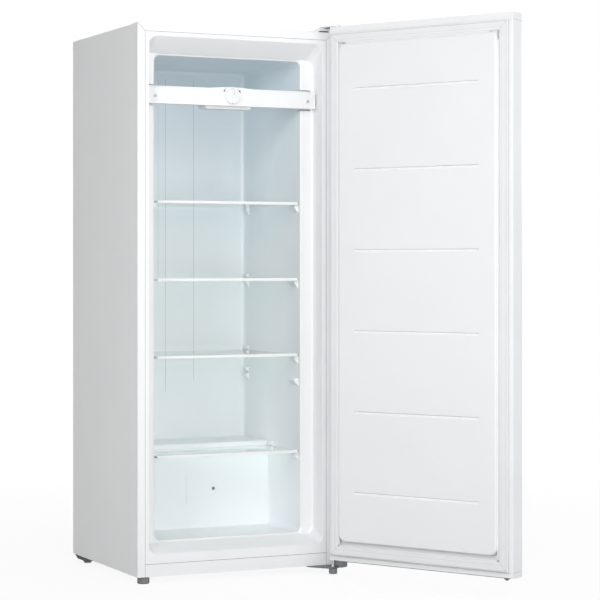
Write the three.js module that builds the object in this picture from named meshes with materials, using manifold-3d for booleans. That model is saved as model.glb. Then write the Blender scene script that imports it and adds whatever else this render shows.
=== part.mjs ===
// Upright freezer with one left-opening door, glass shelves and a thermostat bar, in millimetres.
// X runs from the left side to the right side, Y from the front to the back and Z upward.
import * as THREE from "three";
import { mergeVertices } from "three/addons/utils/BufferGeometryUtils.js";
import Module from "manifold-3d";

const wasm = await Module();
wasm.setup();

// ---- overall sizes -------------------------------------------------------------------------
const WIDTH = 550;
const DEPTH = 494;
const HEIGHT = 1400;
const FOOT_HEIGHT = 18;
const CENTRE_X = WIDTH / 2;

// ---- gaps and sheet thicknesses --------------------------------------------------------------
const GAP = 0.3;
const SHEET = 1;
const LINER_WALL = 2;
const WELD = 1e-4;
const INSIDE = SHEET + GAP;

// ---- outer cabinet ---------------------------------------------------------------------------
const FLANGE_WIDTH = 20.5;
const REAR_RETURN = 12;
const CABINET_CORNER = 1.6;
const KICK_HEIGHT = 32;
const KICK_WALL = 1.5;
const KICK_LIP = 14;

// ---- liner: rim, recess, side ledges and cavity ------------------------------------------------
const RIM_SIDE = 32.5;
const RIM_TOP = 33;
const RIM_BOTTOM = 57;
const RIM_CORNER = 22;
const RIM_BEVEL = 3.5;
const RECESS_DEPTH = 56;
const RECESS_DRAFT = 1.5;
const RECESS_FILLET = 4;
const CAVITY_SIDE = 68.5;
const CAVITY_TOP = 74;
const CAVITY_BOTTOM = 82.5;
const CAVITY_CORNER = 15;
const CAVITY_BACK = DEPTH - 70;
const CAVITY_DRAFT = 1;
const BACK_FILLET = 10;
const CORNER_STEPS = 5;

// ---- step in the cavity floor over the compressor bay --------------------------------------------
const HUMP_FOOT_Y = DEPTH - 240;
const HUMP_TOP_Y = DEPTH - 228;
const HUMP_TOP_Z = 310;
const HUMP_EDGE = 8;
const BAY_WALL = 48;
const PROBE_PLUG = { x: CENTRE_X + 42, z: 186, radius: 4.5, depth: 3 };

// ---- shelves, from the top down, by the height of the middle of the glass ------------------------
const TOP_SHELF = HEIGHT - 449;
const MIDDLE_SHELF = TOP_SHELF - 200.5;
const LOWER_SHELF = MIDDLE_SHELF - 199.5;
const LOW_SHELF = HUMP_TOP_Z - 14;
const SHELF_LEVELS = [TOP_SHELF, MIDDLE_SHELF, LOWER_SHELF, LOW_SHELF];
const SPARE_LEVEL = LOWER_SHELF - 60;
const GLASS_THICK = 4;
const GLASS_SIDE = 73.5;
const GLASS_FRONT = 60;
const GLASS_BACK = CAVITY_BACK - 13;
const LOW_GLASS_BACK = HUMP_FOOT_Y - 4;
const TRIM_SIDE = 77;
const TRIM_DEPTH = 12;
const TRIM_HEIGHT = 7.5;
const TRIM_WALL = 1.6;
const REST_REACH = 12;
const REST_FRONT = 72;
const REST_LENGTH = 32;
const REST_HEIGHT = 22;
const CLIP_LENGTH = 24;
const CLIP_SLOT = 7.4;
const CLIP_TAB = 10;
const CLIP_TAB_REACH = 11;
const CLIP_WEB = 2.2;

// ---- control bar and thermostat ----------------------------------------------------------------
const BAR_FRONT = 31;
const BAR_BOTTOM = HEIGHT - 199.5;
const BAR_HEIGHT = 41;
const BAR_LIP = 6;
const BAR_CREST = 7.5;
const BAR_CREST_WIDTH = 170;
const BAR_WALL = 2;
const BAR_SCREW_X = 60;
const BAR_SCREW_Z = BAR_BOTTOM + 19;
const BAR_SCREW_RADIUS = 4;
const BAR_SCREW_SHANK = 1.8;
const KNOB_X = CENTRE_X - 2;
const KNOB_Z = BAR_BOTTOM + 24.5;
const KNOB_RADIUS = 21;
const KNOB_DEPTH = 9;
const KNOB_GRIP = { width: 8, height: 7 };
const SHAFT_RADIUS = 3;
const HOUSING_HALF = 65;
const HOUSING = { back: 104, bottom: BAR_BOTTOM - 6.5, top: BAR_BOTTOM + 33.5 };
const POCKET = { left: 41, back: 77, bottom: BAR_BOTTOM - 4, top: BAR_BOTTOM + 50.5 };
const TONGUE_CLEARANCE = 3;

// ---- door, drawn closed and then swung open about its pin ----------------------------------------
const DOOR_GAP = 13;
const DOOR_THICK = 49;
const DOOR_BOTTOM = 17.5;
const DOOR_TOP = HEIGHT + 9.5;
const DOOR_CAP_TOP = 18;
const DOOR_CAP_BOTTOM = 14;
const DOOR_EDGE = 7;
const DOOR_LIP = 6;
const DOOR_OPEN_DEG = 118.5;
const PANEL_SIDE = 38.5;
const PANEL_TOP = DOOR_TOP - 47.5;
const PANEL_BOTTOM = DOOR_BOTTOM + 54.5;
const PANEL_RISE = 17;
const PANEL_CORNER = 20;
const PANEL_DRAFT = 3;
const GROOVE_COUNT = 6;
const GROOVE_LOW = PANEL_BOTTOM + 127.5;
const GROOVE_PITCH = (PANEL_TOP - 119.5 - GROOVE_LOW) / (GROOVE_COUNT - 1);
const GROOVE_LEFT = 88;
const GROOVE_HEIGHT = 9;
const GROOVE_DEPTH = 5;
const GASKET_INSET = 9;
const GASKET_WIDTH = 26;

// ---- hinges ----------------------------------------------------------------------------------
const PIVOT = { x: WIDTH - 7, y: -34 };
const PIN_RADIUS = 4;
const PIN_CLEARANCE = 0.3;
const PIN_REACH = 12;
const LOWER_PLATE = 3;
const TOP_PLATE = 2.7;
const TOP_ARM_Z = DOOR_TOP + 1.8;
const TOP_FOOT = { left: WIDTH - 59, right: WIDTH - 8, back: 56, riser: 8 };
const COVER_TOP = DOOR_TOP + 7.5;
const COVER_WALL = 1.5;
const COVER_LEFT = WIDTH - 77;
const COVER_SLOPE = 49;
const COVER_RIGHT = WIDTH - 0.5;
const COVER_FRONT = PIVOT.y - 15;
const COVER_BACK = 70;
const COVER_SLOT = { left: WIDTH - 42, right: WIDTH - 15, height: 3.5 };
const LOWER_FOOT = { left: WIDTH - 72, right: WIDTH - 1, front: 2, back: 62, corner: 8 };
const STOP = { near: 18, far: 36, hook: 11, front: -41, back: -16, thick: 10.5, hookDrop: 6.4 };
const DOOR_PLUG = { inset: 29, radius: 9.5, tip: 4, height: 8, stem: 3, reach: 5 };
const HOLE_PLUG = { left: 5, right: 42, front: 8, back: 54, height: 2, corner: 6 };

// ---- feet and rollers --------------------------------------------------------------------------
const LEFT_FOOT = { x: 23, y: 20, radius: 15.5, top: -0.5, studTop: 24 };
const RIGHT_FOOT = { x: WIDTH - 19.5, y: -38, radius: 11, top: -3.6, studTop: 5.4 };
const STUD_RADIUS = 4;
const STUD_CLEARANCE = 0.4;
const FOOT_RIBS = 20;
const ROLLER = { radius: 18, width: 13, y: DEPTH - 72, left: 7.5 };
const AXLE_RADIUS = 3;
const AXLE_CLEARANCE = 0.1;
const BRACKET = {
  left: INSIDE,
  width: 23,
  front: DEPTH - 154,
  back: DEPTH - 10,
  bottom: -10,
  top: 21,
  slope: 24,
  wall: 1.5,
};

// ---- compressor bay ----------------------------------------------------------------------------
const BASE_PLATE = { front: DEPTH - 164, back: DEPTH - 10, thick: 2 };
const COMPRESSOR = {
  x: WIDTH - 178,
  y: DEPTH - 90,
  radius: 76,
  height: 172,
  round: 28,
  seamReach: 3,
  seamHeight: 4,
  footX: 88,
  footY: 62,
  footThick: 3,
};
const RELAY_COVER = { reach: 34, halfWidth: 30, bottom: 58, top: 118, corner: 6 };
const PIPE_RADIUS = 4;
const THIN_PIPE_RADIUS = 3;
const SUCTION = { aside: 22, y: -12, z: 128, bend: 10 };
const DISCHARGE = { aside: 44, y: 24, z: 70, bend: 12 };
const DRIER = { x: 190, y: DEPTH - 58, radius: 10, bottom: 112, top: 190, inlet: 66 };

const MATERIALS = {
  paintedSteel: { color: 0xf2f3f3, metalness: 0.1, roughness: 0.35 },
  zincSteel: { color: 0xb4b8ba, metalness: 0.8, roughness: 0.4 },
  blackSteel: { color: 0x1b1c1d, metalness: 0.4, roughness: 0.5 },
  copper: { color: 0xb06a3c, metalness: 0.9, roughness: 0.35 },
  whitePlastic: { color: 0xf4f5f5, metalness: 0, roughness: 0.3 },
  linerPlastic: { color: 0xeef1f1, metalness: 0, roughness: 0.3 },
  greyPlastic: { color: 0x757879, metalness: 0, roughness: 0.6 },
  blackPlastic: { color: 0x18191a, metalness: 0, roughness: 0.5 },
  gasket: { color: 0xe9ebeb, metalness: 0, roughness: 0.6 },
  foam: { color: 0xe8dfb8, metalness: 0, roughness: 0.9 },
  glass: { color: 0xcfe4df, metalness: 0, roughness: 0.05, transparent: true, opacity: 0.35 },
};

// ---- solid modelling helpers --------------------------------------------------------------------

/** A solid for boolean work from any closed three.js geometry. */
function solidOf(geometry) {
  const bare = geometry.clone();
  bare.deleteAttribute("normal");
  bare.deleteAttribute("uv");
  const welded = mergeVertices(bare, WELD);
  return new wasm.Manifold(
    new wasm.Mesh({
      numProp: 3,
      vertProperties: new Float32Array(welded.attributes.position.array),
      triVerts: new Uint32Array(welded.index.array),
    }),
  );
}

/** The three.js geometry of a solid. */
function geometryOf(solid) {
  const mesh = solid.getMesh();
  const geometry = new THREE.BufferGeometry();
  geometry.setAttribute("position", new THREE.BufferAttribute(mesh.vertProperties, 3));
  geometry.setIndex(new THREE.BufferAttribute(mesh.triVerts, 1));
  return geometry;
}

function join(first, ...others) {
  return others.reduce((whole, piece) => whole.add(piece), first);
}

function cut(first, ...others) {
  return others.reduce((whole, piece) => whole.subtract(piece), first);
}

function block(x0, x1, y0, y1, z0, z1) {
  const geometry = new THREE.BoxGeometry(x1 - x0, y1 - y0, z1 - z0);
  geometry.translate((x0 + x1) / 2, (y0 + y1) / 2, (z0 + z1) / 2);
  return solidOf(geometry);
}

/** An outline through points, each corner rounded by its own radius (its third value). */
function outline(points) {
  const shape = new THREE.Shape();
  const corners = points.map(([u, v, radius = 0]) => ({ at: new THREE.Vector2(u, v), radius }));
  corners.forEach(({ at, radius }, i) => {
    const before = corners.at(i - 1).at;
    const after = corners[(i + 1) % corners.length].at;
    const enter = at.clone().add(before.clone().sub(at).setLength(radius));
    const leave = at.clone().add(after.clone().sub(at).setLength(radius));
    if (i === 0) shape.moveTo(enter.x, enter.y);
    else shape.lineTo(enter.x, enter.y);
    if (radius > 0) shape.quadraticCurveTo(at.x, at.y, leave.x, leave.y);
  });
  shape.closePath();
  return shape;
}

function extrusion(shape, length, steps) {
  const options = { depth: length, bevelEnabled: false, curveSegments: steps };
  return new THREE.ExtrudeGeometry(shape, options);
}

/** A prism whose outline lies in Y and Z and which runs along X. */
function prismX(shape, x0, x1, steps = 4) {
  const turn = new THREE.Matrix4().makeBasis(
    new THREE.Vector3(0, 1, 0),
    new THREE.Vector3(0, 0, 1),
    new THREE.Vector3(1, 0, 0),
  );
  const geometry = extrusion(shape, x1 - x0, steps);
  geometry.applyMatrix4(turn);
  geometry.translate(x0, 0, 0);
  return solidOf(geometry);
}

/** A prism whose outline lies in X and Z and which runs along Y. */
function prismY(shape, y0, y1, steps = 4) {
  const geometry = extrusion(shape, y1 - y0, steps);
  geometry.rotateX(Math.PI / 2);
  geometry.translate(0, y1, 0);
  return solidOf(geometry);
}

/** A prism whose outline lies in X and Y and which runs up Z. */
function prismZ(shape, z0, z1, steps = 4) {
  const geometry = extrusion(shape, z1 - z0, steps);
  geometry.translate(0, 0, z0);
  return solidOf(geometry);
}

/** A closed solid through loops of equal point counts, flat at both ends. */
function loft(loops) {
  const count = loops[0].length;
  const positions = loops.flat(2);
  const index = [];
  for (let k = 0; k + 1 < loops.length; k += 1) {
    for (let i = 0; i < count; i += 1) {
      const near = k * count + i;
      const next = k * count + ((i + 1) % count);
      index.push(near, near + count, next + count, near, next + count, next);
    }
  }
  const last = (loops.length - 1) * count;
  for (let i = 1; i + 1 < count; i += 1) {
    index.push(0, i, i + 1, last, last + i + 1, last + i);
  }
  const geometry = new THREE.BufferGeometry();
  geometry.setAttribute("position", new THREE.Float32BufferAttribute(positions, 3));
  geometry.setIndex(signedVolume(positions, index) < 0 ? index.reverse() : index);
  return solidOf(geometry);
}

function signedVolume(positions, index) {
  const corner = (k) => new THREE.Vector3().fromArray(positions, 3 * index[k]);
  let volume = 0;
  for (let k = 0; k < index.length; k += 3) {
    volume += corner(k).dot(corner(k + 1).cross(corner(k + 2))) / 6;
  }
  return volume;
}

/** A rounded rectangle in X and Z at one depth. */
function rectangleLoop(y, x0, x1, z0, z1, radius) {
  const centres = [
    [x1 - radius, z0 + radius, -Math.PI / 2],
    [x1 - radius, z1 - radius, 0],
    [x0 + radius, z1 - radius, Math.PI / 2],
    [x0 + radius, z0 + radius, Math.PI],
  ];
  return centres.flatMap(([x, z, start]) =>
    Array.from({ length: CORNER_STEPS + 1 }, (_, i) => {
      const angle = start + (i / CORNER_STEPS) * (Math.PI / 2);
      return [x + radius * Math.cos(angle), y, z + radius * Math.sin(angle)];
    }),
  );
}

/** A body of revolution about Z through rings of [radius, height]. */
function revolveZ(x, y, rings, sides) {
  return loft(
    rings.map(([radius, z]) =>
      Array.from({ length: sides }, (_, i) => {
        const angle = (i / sides) * 2 * Math.PI;
        return [x + radius * Math.cos(angle), y + radius * Math.sin(angle), z];
      }),
    ),
  );
}

/** The same about X, with one corner straight down so that a roller stands on it. */
function revolveX(y, z, rings, sides) {
  return loft(
    rings.map(([radius, x]) =>
      Array.from({ length: sides }, (_, i) => {
        const angle = (i / sides) * 2 * Math.PI - Math.PI / 2;
        return [x, y + radius * Math.cos(angle), z + radius * Math.sin(angle)];
      }),
    ),
  );
}

/** The same about Y. */
function revolveY(x, z, rings, sides) {
  return loft(
    rings.map(([radius, y]) =>
      Array.from({ length: sides }, (_, i) => {
        const angle = (i / sides) * 2 * Math.PI;
        return [x + radius * Math.cos(angle), y, z + radius * Math.sin(angle)];
      }),
    ),
  );
}

/** A closed profile of [inset, y] carried round a rectangle in X and Z with mitred corners. */
function frame(x0, x1, z0, z1, profile) {
  const positions = profile.flatMap(([inset, y]) => [
    [x0 + inset, y, z0 + inset],
    [x1 - inset, y, z0 + inset],
    [x1 - inset, y, z1 - inset],
    [x0 + inset, y, z1 - inset],
  ]).flat();
  const index = [];
  for (let k = 0; k < profile.length; k += 1) {
    const ring = 4 * k;
    const after = 4 * ((k + 1) % profile.length);
    for (let i = 0; i < 4; i += 1) {
      const j = (i + 1) % 4;
      index.push(ring + i, after + i, after + j, ring + i, after + j, ring + j);
    }
  }
  const geometry = new THREE.BufferGeometry();
  geometry.setAttribute("position", new THREE.Float32BufferAttribute(positions, 3));
  geometry.setIndex(signedVolume(positions, index) < 0 ? index.reverse() : index);
  return solidOf(geometry);
}

/** A round pipe through points, straight at both ends. */
function pipe(points, radius, steps) {
  const path = new THREE.CatmullRomCurve3(
    points.map((p) => new THREE.Vector3(...p)),
    false,
    "catmullrom",
    0.15,
  );
  const section = new THREE.Shape();
  section.absarc(0, 0, radius, 0, 2 * Math.PI);
  const options = { steps, extrudePath: path, curveSegments: 4, bevelEnabled: false };
  return solidOf(new THREE.ExtrudeGeometry(section, options));
}

const mirrorX = (x) => WIDTH - x;

// ---- outer cabinet --------------------------------------------------------------------------

/** A U of the cabinet's outline, open at the bottom, with arms of the stated width. */
function wrapShape(width) {
  const inner = Math.max(CABINET_CORNER - width, 0);
  return outline([
    [0, 0],
    [0, HEIGHT, CABINET_CORNER],
    [WIDTH, HEIGHT, CABINET_CORNER],
    [WIDTH, 0],
    [WIDTH - width, 0],
    [WIDTH - width, HEIGHT - width, inner],
    [width, HEIGHT - width, inner],
    [width, 0],
  ]);
}

function outerWrapper() {
  const sides = prismY(wrapShape(SHEET), 0, DEPTH);
  const flange = prismY(wrapShape(FLANGE_WIDTH), 0, SHEET);
  const rearReturn = prismY(wrapShape(REAR_RETURN), DEPTH - SHEET, DEPTH);
  return join(sides, flange, rearReturn);
}

function backPanel() {
  const back = DEPTH - INSIDE;
  return block(INSIDE, WIDTH - INSIDE, back - SHEET, back, bayCeiling(), HEIGHT - INSIDE);
}

function kickPlate() {
  const left = FLANGE_WIDTH + GAP;
  const face = block(left, mirrorX(left), 0, KICK_WALL, 0, KICK_HEIGHT - GAP);
  const lip = block(left, mirrorX(left), 0, KICK_LIP, 0, SHEET);
  return join(face, lip);
}

// ---- liner ----------------------------------------------------------------------------------

/** The loops of the space inside the liner, or of its outer side when grown by a wall. */
function linerLoops(grow) {
  const rimTop = HEIGHT - RIM_TOP;
  const cavityTop = HEIGHT - CAVITY_TOP;
  const mouthTop = cavityTop + RECESS_FILLET;
  const mouthBottom = CAVITY_BOTTOM - RECESS_FILLET;
  const recessSide = RIM_SIDE + RECESS_DRAFT;
  const backSide = CAVITY_SIDE + CAVITY_DRAFT;
  const bend = 0.3 * BACK_FILLET;
  const sections = [
    [-LINER_WALL, RIM_SIDE - RIM_BEVEL, rimTop + RIM_BEVEL, RIM_BOTTOM - RIM_BEVEL, RIM_CORNER],
    [LINER_WALL, RIM_SIDE, rimTop, RIM_BOTTOM, RIM_CORNER],
    [RECESS_DEPTH - RECESS_FILLET, recessSide, mouthTop + 2, mouthBottom - 2, RIM_CORNER],
    [RECESS_DEPTH, recessSide + RECESS_FILLET, mouthTop, mouthBottom, RIM_CORNER],
    [RECESS_DEPTH, CAVITY_SIDE - RECESS_FILLET, mouthTop, mouthBottom, CAVITY_CORNER],
    [RECESS_DEPTH + RECESS_FILLET, CAVITY_SIDE, cavityTop, CAVITY_BOTTOM, CAVITY_CORNER],
    [CAVITY_BACK - BACK_FILLET, backSide, cavityTop, CAVITY_BOTTOM, CAVITY_CORNER],
    [CAVITY_BACK - bend, backSide + bend, cavityTop - bend, CAVITY_BOTTOM + bend, CAVITY_CORNER],
    [
      CAVITY_BACK,
      backSide + BACK_FILLET,
      cavityTop - BACK_FILLET,
      CAVITY_BOTTOM + BACK_FILLET,
      CAVITY_CORNER,
    ],
  ];
  return sections.map(([y, side, top, bottom, radius], i) => {
    const back = i > 1 ? y + grow : y;
    const corner = radius + grow;
    return rectangleLoop(
      back, side - grow, mirrorX(side - grow), bottom - grow, top + grow, corner,
    );
  });
}

/** The step over the compressor bay, drawn in by a wall on its top and front. */
function hump(inset) {
  const top = HUMP_TOP_Z - inset;
  const behind = CAVITY_BACK + 4 * BACK_FILLET;
  const profile = outline([
    [HUMP_FOOT_Y + inset, 0],
    [HUMP_FOOT_Y + inset, CAVITY_BOTTOM],
    [HUMP_TOP_Y + inset, top, HUMP_EDGE],
    [behind, top],
    [behind, 0],
  ]);
  return prismX(profile, CAVITY_SIDE / 2, mirrorX(CAVITY_SIDE / 2));
}

function shelfLevels() {
  return [...SHELF_LEVELS, SPARE_LEVEL];
}

/** A moulded front rest under one shelf, sloping back to the wall below. */
function shelfRest(level, mirrored) {
  const top = level - GLASS_THICK / 2 - GAP;
  const wall = mirrorX(CAVITY_SIDE) + LINER_WALL / 2;
  const tip = mirrorX(CAVITY_SIDE) - REST_REACH;
  const points = [
    [tip, top],
    [wall, top],
    [wall, top - REST_HEIGHT],
    [tip, top - REST_HEIGHT / 3, 2],
  ];
  const placed = mirrored ? points.map(([x, ...rest]) => [mirrorX(x), ...rest]).reverse() : points;
  return prismY(outline(placed), REST_FRONT, REST_FRONT + REST_LENGTH, 2);
}

/** The two notches in the side ledges that hold the ends of the control bar, grown by a wall. */
function barPockets(grow) {
  const { left, back, bottom, top } = POCKET;
  const open = CAVITY_SIDE + SHEET;
  const pocket = (x0, x1) =>
    block(x0, x1, RECESS_DEPTH - GAP, back + grow, bottom - grow, top + grow);
  return [pocket(left - grow, open), pocket(mirrorX(open), mirrorX(left - grow))];
}

function cabinetLiner() {
  const rim = prismY(
    outline([
      [FLANGE_WIDTH + GAP, KICK_HEIGHT],
      [mirrorX(FLANGE_WIDTH + GAP), KICK_HEIGHT],
      [mirrorX(FLANGE_WIDTH + GAP), HEIGHT - FLANGE_WIDTH - GAP],
      [FLANGE_WIDTH + GAP, HEIGHT - FLANGE_WIDTH - GAP],
    ]),
    0,
    LINER_WALL,
  );
  const [, ...outerLoops] = linerLoops(LINER_WALL);
  const shell = cut(join(rim, loft(outerLoops), ...barPockets(LINER_WALL)), hump(LINER_WALL));
  const space = join(cut(loft(linerLoops(0)), hump(0)), ...barPockets(0));
  const rests = shelfLevels().flatMap((z) => [shelfRest(z, false), shelfRest(z, true)]);
  const plugHole = revolveY(
    PROBE_PLUG.x,
    PROBE_PLUG.z,
    [
      [PROBE_PLUG.radius, HUMP_FOOT_Y - 4],
      [PROBE_PLUG.radius, HUMP_TOP_Y + 4],
    ],
    16,
  );
  return cut(join(cut(shell, space), ...rests), plugHole, ...screwHoles());
}

function probePlug() {
  const { x, z, radius, depth } = PROBE_PLUG;
  const face = humpFaceY(z);
  const stem = radius - GAP;
  return revolveY(
    x,
    z,
    [
      [stem - 1, face - 1],
      [stem, face],
      [stem, face + depth],
    ],
    16,
  );
}

function humpFaceY(z) {
  const share = (z - CAVITY_BOTTOM) / (HUMP_TOP_Z - CAVITY_BOTTOM);
  return HUMP_FOOT_Y + share * (HUMP_TOP_Y - HUMP_FOOT_Y);
}

// ---- insulation and compressor bay ----------------------------------------------------------------

function bayCeiling() {
  return HUMP_TOP_Z - BAY_WALL;
}

/** The bay's outline in Y and Z, drawn in by an inset from the insulation. */
function bayShape(inset, floor) {
  return outline([
    [HUMP_FOOT_Y + BAY_WALL + inset, floor],
    [HUMP_TOP_Y + BAY_WALL + inset, bayCeiling() - inset],
    [DEPTH + SHEET, bayCeiling() - inset],
    [DEPTH + SHEET, floor],
  ]);
}

function cabinetFoam() {
  const back = DEPTH - INSIDE - SHEET - GAP;
  const core = block(INSIDE, mirrorX(INSIDE), LINER_WALL + GAP, back, INSIDE, HEIGHT - INSIDE);
  const clear = LINER_WALL + GAP;
  const [, ...linerSide] = linerLoops(clear);
  const linerSpace = cut(loft(linerSide), hump(clear));
  const bay = prismX(bayShape(0, -SHEET), -SHEET, WIDTH + SHEET);
  const foot = studHole(LEFT_FOOT, LEFT_FOOT.studTop + 2 * SHEET);
  const plug = revolveY(
    PROBE_PLUG.x,
    PROBE_PLUG.z,
    [
      [PROBE_PLUG.radius, HUMP_FOOT_Y],
      [PROBE_PLUG.radius, HUMP_TOP_Y + PROBE_PLUG.depth],
    ],
    16,
  );
  return cut(core, linerSpace, ...barPockets(clear), bay, foot, plug, ...screwHoles());
}

function bayPanel() {
  const outer = prismX(bayShape(GAP, 0), INSIDE, mirrorX(INSIDE));
  const inner = prismX(bayShape(GAP + SHEET, -SHEET), 0, WIDTH);
  const behind = block(0, WIDTH, DEPTH - INSIDE - SHEET - GAP, DEPTH + 2, -SHEET, HEIGHT);
  return cut(outer, inner, behind);
}

function basePan() {
  const front = KICK_LIP + GAP;
  const pan = block(INSIDE, mirrorX(INSIDE), front, HUMP_FOOT_Y + BAY_WALL, 0, SHEET);
  return cut(pan, studHole(LEFT_FOOT, LEFT_FOOT.studTop));
}

function compressorBase() {
  const left = BRACKET.left + BRACKET.width + GAP;
  const { front, back, thick } = BASE_PLATE;
  const plate = block(left, mirrorX(left), front, back, 0, thick);
  const lipAt = (y) => block(left, mirrorX(left), y, y + thick, 0, 5 * thick);
  return join(plate, lipAt(front), lipAt(back - thick));
}

function compressorBody() {
  const { x, y, radius, height, round, seamReach, seamHeight } = COMPRESSOR;
  const { footX, footY, footThick } = COMPRESSOR;
  const floor = BASE_PLATE.thick + GAP;
  const seamTop = height / 2 + seamHeight;
  const corner = 12;
  const rings = [
    [radius - round, floor],
    [radius - round, floor + 6],
    [radius - 6, floor + 22],
    [radius, floor + 42],
    [radius, height - 1.5 * round],
    [radius - 6, height - round],
    [radius - round, height - 7],
    [radius - 1.8 * round, height],
  ];
  const dome = revolveZ(x, y, rings, 28);
  const seam = revolveZ(x, y, [[radius + seamReach, height / 2], [radius + seamReach, seamTop]], 28);
  const feet = prismZ(
    outline([
      [x - footX, y - footY, corner],
      [x + footX, y - footY, corner],
      [x + footX, y + footY, corner],
      [x - footX, y + footY, corner],
    ]),
    floor,
    floor + footThick,
  );
  return join(dome, seam, feet);
}

/** The compressor's own space, for pieces that close against it. */
function compressorSpace() {
  const { x, y, radius, height, seamReach } = COMPRESSOR;
  const reach = radius + seamReach + GAP;
  return revolveZ(x, y, [[reach, 0], [reach, height]], 28);
}

function relayCover() {
  const { reach, halfWidth, bottom, top, corner } = RELAY_COVER;
  const left = COMPRESSOR.x - COMPRESSOR.radius - reach;
  const cover = prismZ(
    outline([
      [left, COMPRESSOR.y - halfWidth, corner],
      [COMPRESSOR.x, COMPRESSOR.y - halfWidth],
      [COMPRESSOR.x, COMPRESSOR.y + halfWidth],
      [left, COMPRESSOR.y + halfWidth, corner],
    ]),
    bottom,
    top,
  );
  return cut(cover, compressorSpace());
}

function pipeTop() {
  return bayCeiling() - GAP - SHEET - GAP;
}

/** A pipe that leaves the compressor's side, turns up and ends under the bay's ceiling. */
function risingPipe({ aside, y, z, bend }, radius) {
  const start = COMPRESSOR.x + COMPRESSOR.radius;
  const out = start + aside;
  const row = COMPRESSOR.y + y;
  const run = [[start - bend, row, z], [out - bend, row, z], [out, row, z + bend]];
  return cut(pipe([...run, [out, row, pipeTop()]], radius, 24), compressorSpace());
}

function suctionPipe() {
  return risingPipe(SUCTION, PIPE_RADIUS);
}

function dischargePipe() {
  return risingPipe(DISCHARGE, THIN_PIPE_RADIUS);
}

function filterDrier() {
  const { x, y, radius, bottom, top, inlet } = DRIER;
  const bend = 12;
  const low = bottom - bend;
  const run = [[INSIDE + GAP, y, inlet], [x - bend, y, inlet], [x, y, inlet + bend], [x, y, low + 4]];
  const capillary = THIN_PIPE_RADIUS - 1;
  const rings = [
    [THIN_PIPE_RADIUS, low],
    [radius, bottom],
    [radius, top],
    [capillary, top + bend],
    [capillary, pipeTop()],
  ];
  return join(pipe(run, THIN_PIPE_RADIUS, 24), revolveZ(x, y, rings, 16));
}

// ---- feet and rollers -----------------------------------------------------------------------

function studHole({ x, y }, top) {
  const radius = STUD_RADIUS + STUD_CLEARANCE;
  return revolveZ(x, y, [[radius, -FOOT_HEIGHT], [radius, top]], 20);
}

function footStud({ x, y, studTop, top }) {
  const bottom = top - 8;
  const rings = [[STUD_RADIUS, bottom], [STUD_RADIUS, studTop - 1], [STUD_RADIUS - 1, studTop]];
  return revolveZ(x, y, rings, 20);
}

/** The knurled foot that is turned by hand, hollow for its stud. */
function footPad({ x, y, radius, top }) {
  const sides = 2 * FOOT_RIBS;
  const ring = (reach, z) =>
    Array.from({ length: sides }, (_, i) => {
      const angle = (i / sides) * 2 * Math.PI;
      const out = reach - (i % 2 ? 0.5 : 0);
      return [x + out * Math.cos(angle), y + out * Math.sin(angle), z];
    });
  const body = loft([
    ring(radius - 1.5, -FOOT_HEIGHT),
    ring(radius, -FOOT_HEIGHT + 2),
    ring(radius, top - 1),
    ring(radius - 1, top),
  ]);
  const hole = STUD_RADIUS + GAP;
  return cut(body, revolveZ(x, y, [[hole, top - 8 - GAP], [hole, top + 1]], 20));
}

/** Things drawn for the left side are mirrored in X for the right side. */
function onSide(solid, right) {
  return right ? solid.mirror([1, 0, 0]).translate([WIDTH, 0, 0]) : solid;
}

function rollerCentreZ() {
  return ROLLER.radius - FOOT_HEIGHT;
}

function rollerBracket(right) {
  const { left, width, front, back, bottom, top, slope, wall } = BRACKET;
  const side = outline([
    [front, 0],
    [front + slope, bottom],
    [back - slope, bottom],
    [back, 0],
    [back, top],
    [front, top],
  ]);
  const channel = prismX(side, left, left + width);
  const below = bottom - 1;
  const hollow = block(left + wall, left + width - wall, front - 1, back + 1, below, top - wall);
  const hole = AXLE_RADIUS + AXLE_CLEARANCE;
  const bore = [[hole, left - 1], [hole, left + width + 1]];
  return onSide(cut(channel, hollow, revolveX(ROLLER.y, rollerCentreZ(), bore, 20)), right);
}

function rearRoller(right) {
  const { radius, width, left, y } = ROLLER;
  const edge = 1.5;
  const rings = [
    [radius - edge, left],
    [radius, left + edge],
    [radius, left + width - edge],
    [radius - edge, left + width],
  ];
  const hole = AXLE_RADIUS + AXLE_CLEARANCE;
  const bore = revolveX(y, rollerCentreZ(), [[hole, left - 1], [hole, left + width + 1]], 20);
  return onSide(cut(revolveX(y, rollerCentreZ(), rings, 32), bore), right);
}

function rollerAxle(right) {
  const { left, width } = BRACKET;
  const rings = [
    [AXLE_RADIUS, left + SHEET / 2],
    [AXLE_RADIUS, left + width - 1],
    [AXLE_RADIUS - 1, left + width],
  ];
  return onSide(revolveX(ROLLER.y, rollerCentreZ(), rings, 20), right);
}

// ---- hinges ---------------------------------------------------------------------------------

function lowerHingeBracket() {
  const { left, right, front, back, corner } = LOWER_FOOT;
  const top = -GAP;
  const arm = PIN_RADIUS + 8;
  const plate = prismZ(
    outline([
      [left, back, corner / 2],
      [left, front],
      [RIGHT_FOOT.x - 17, RIGHT_FOOT.y - corner, corner],
      [PIVOT.x - arm, PIVOT.y - arm, corner],
      [right, PIVOT.y - arm, corner],
      [right, back, corner / 2],
    ]),
    top - LOWER_PLATE,
    top,
  );
  const pinTop = DOOR_BOTTOM + PIN_REACH;
  const pin = revolveZ(
    PIVOT.x,
    PIVOT.y,
    [
      [PIN_RADIUS, top - LOWER_PLATE],
      [PIN_RADIUS, pinTop - 1],
      [PIN_RADIUS - 1, pinTop],
    ],
    24,
  );
  return join(cut(plate, studHole(RIGHT_FOOT, 0)), pin);
}

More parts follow.
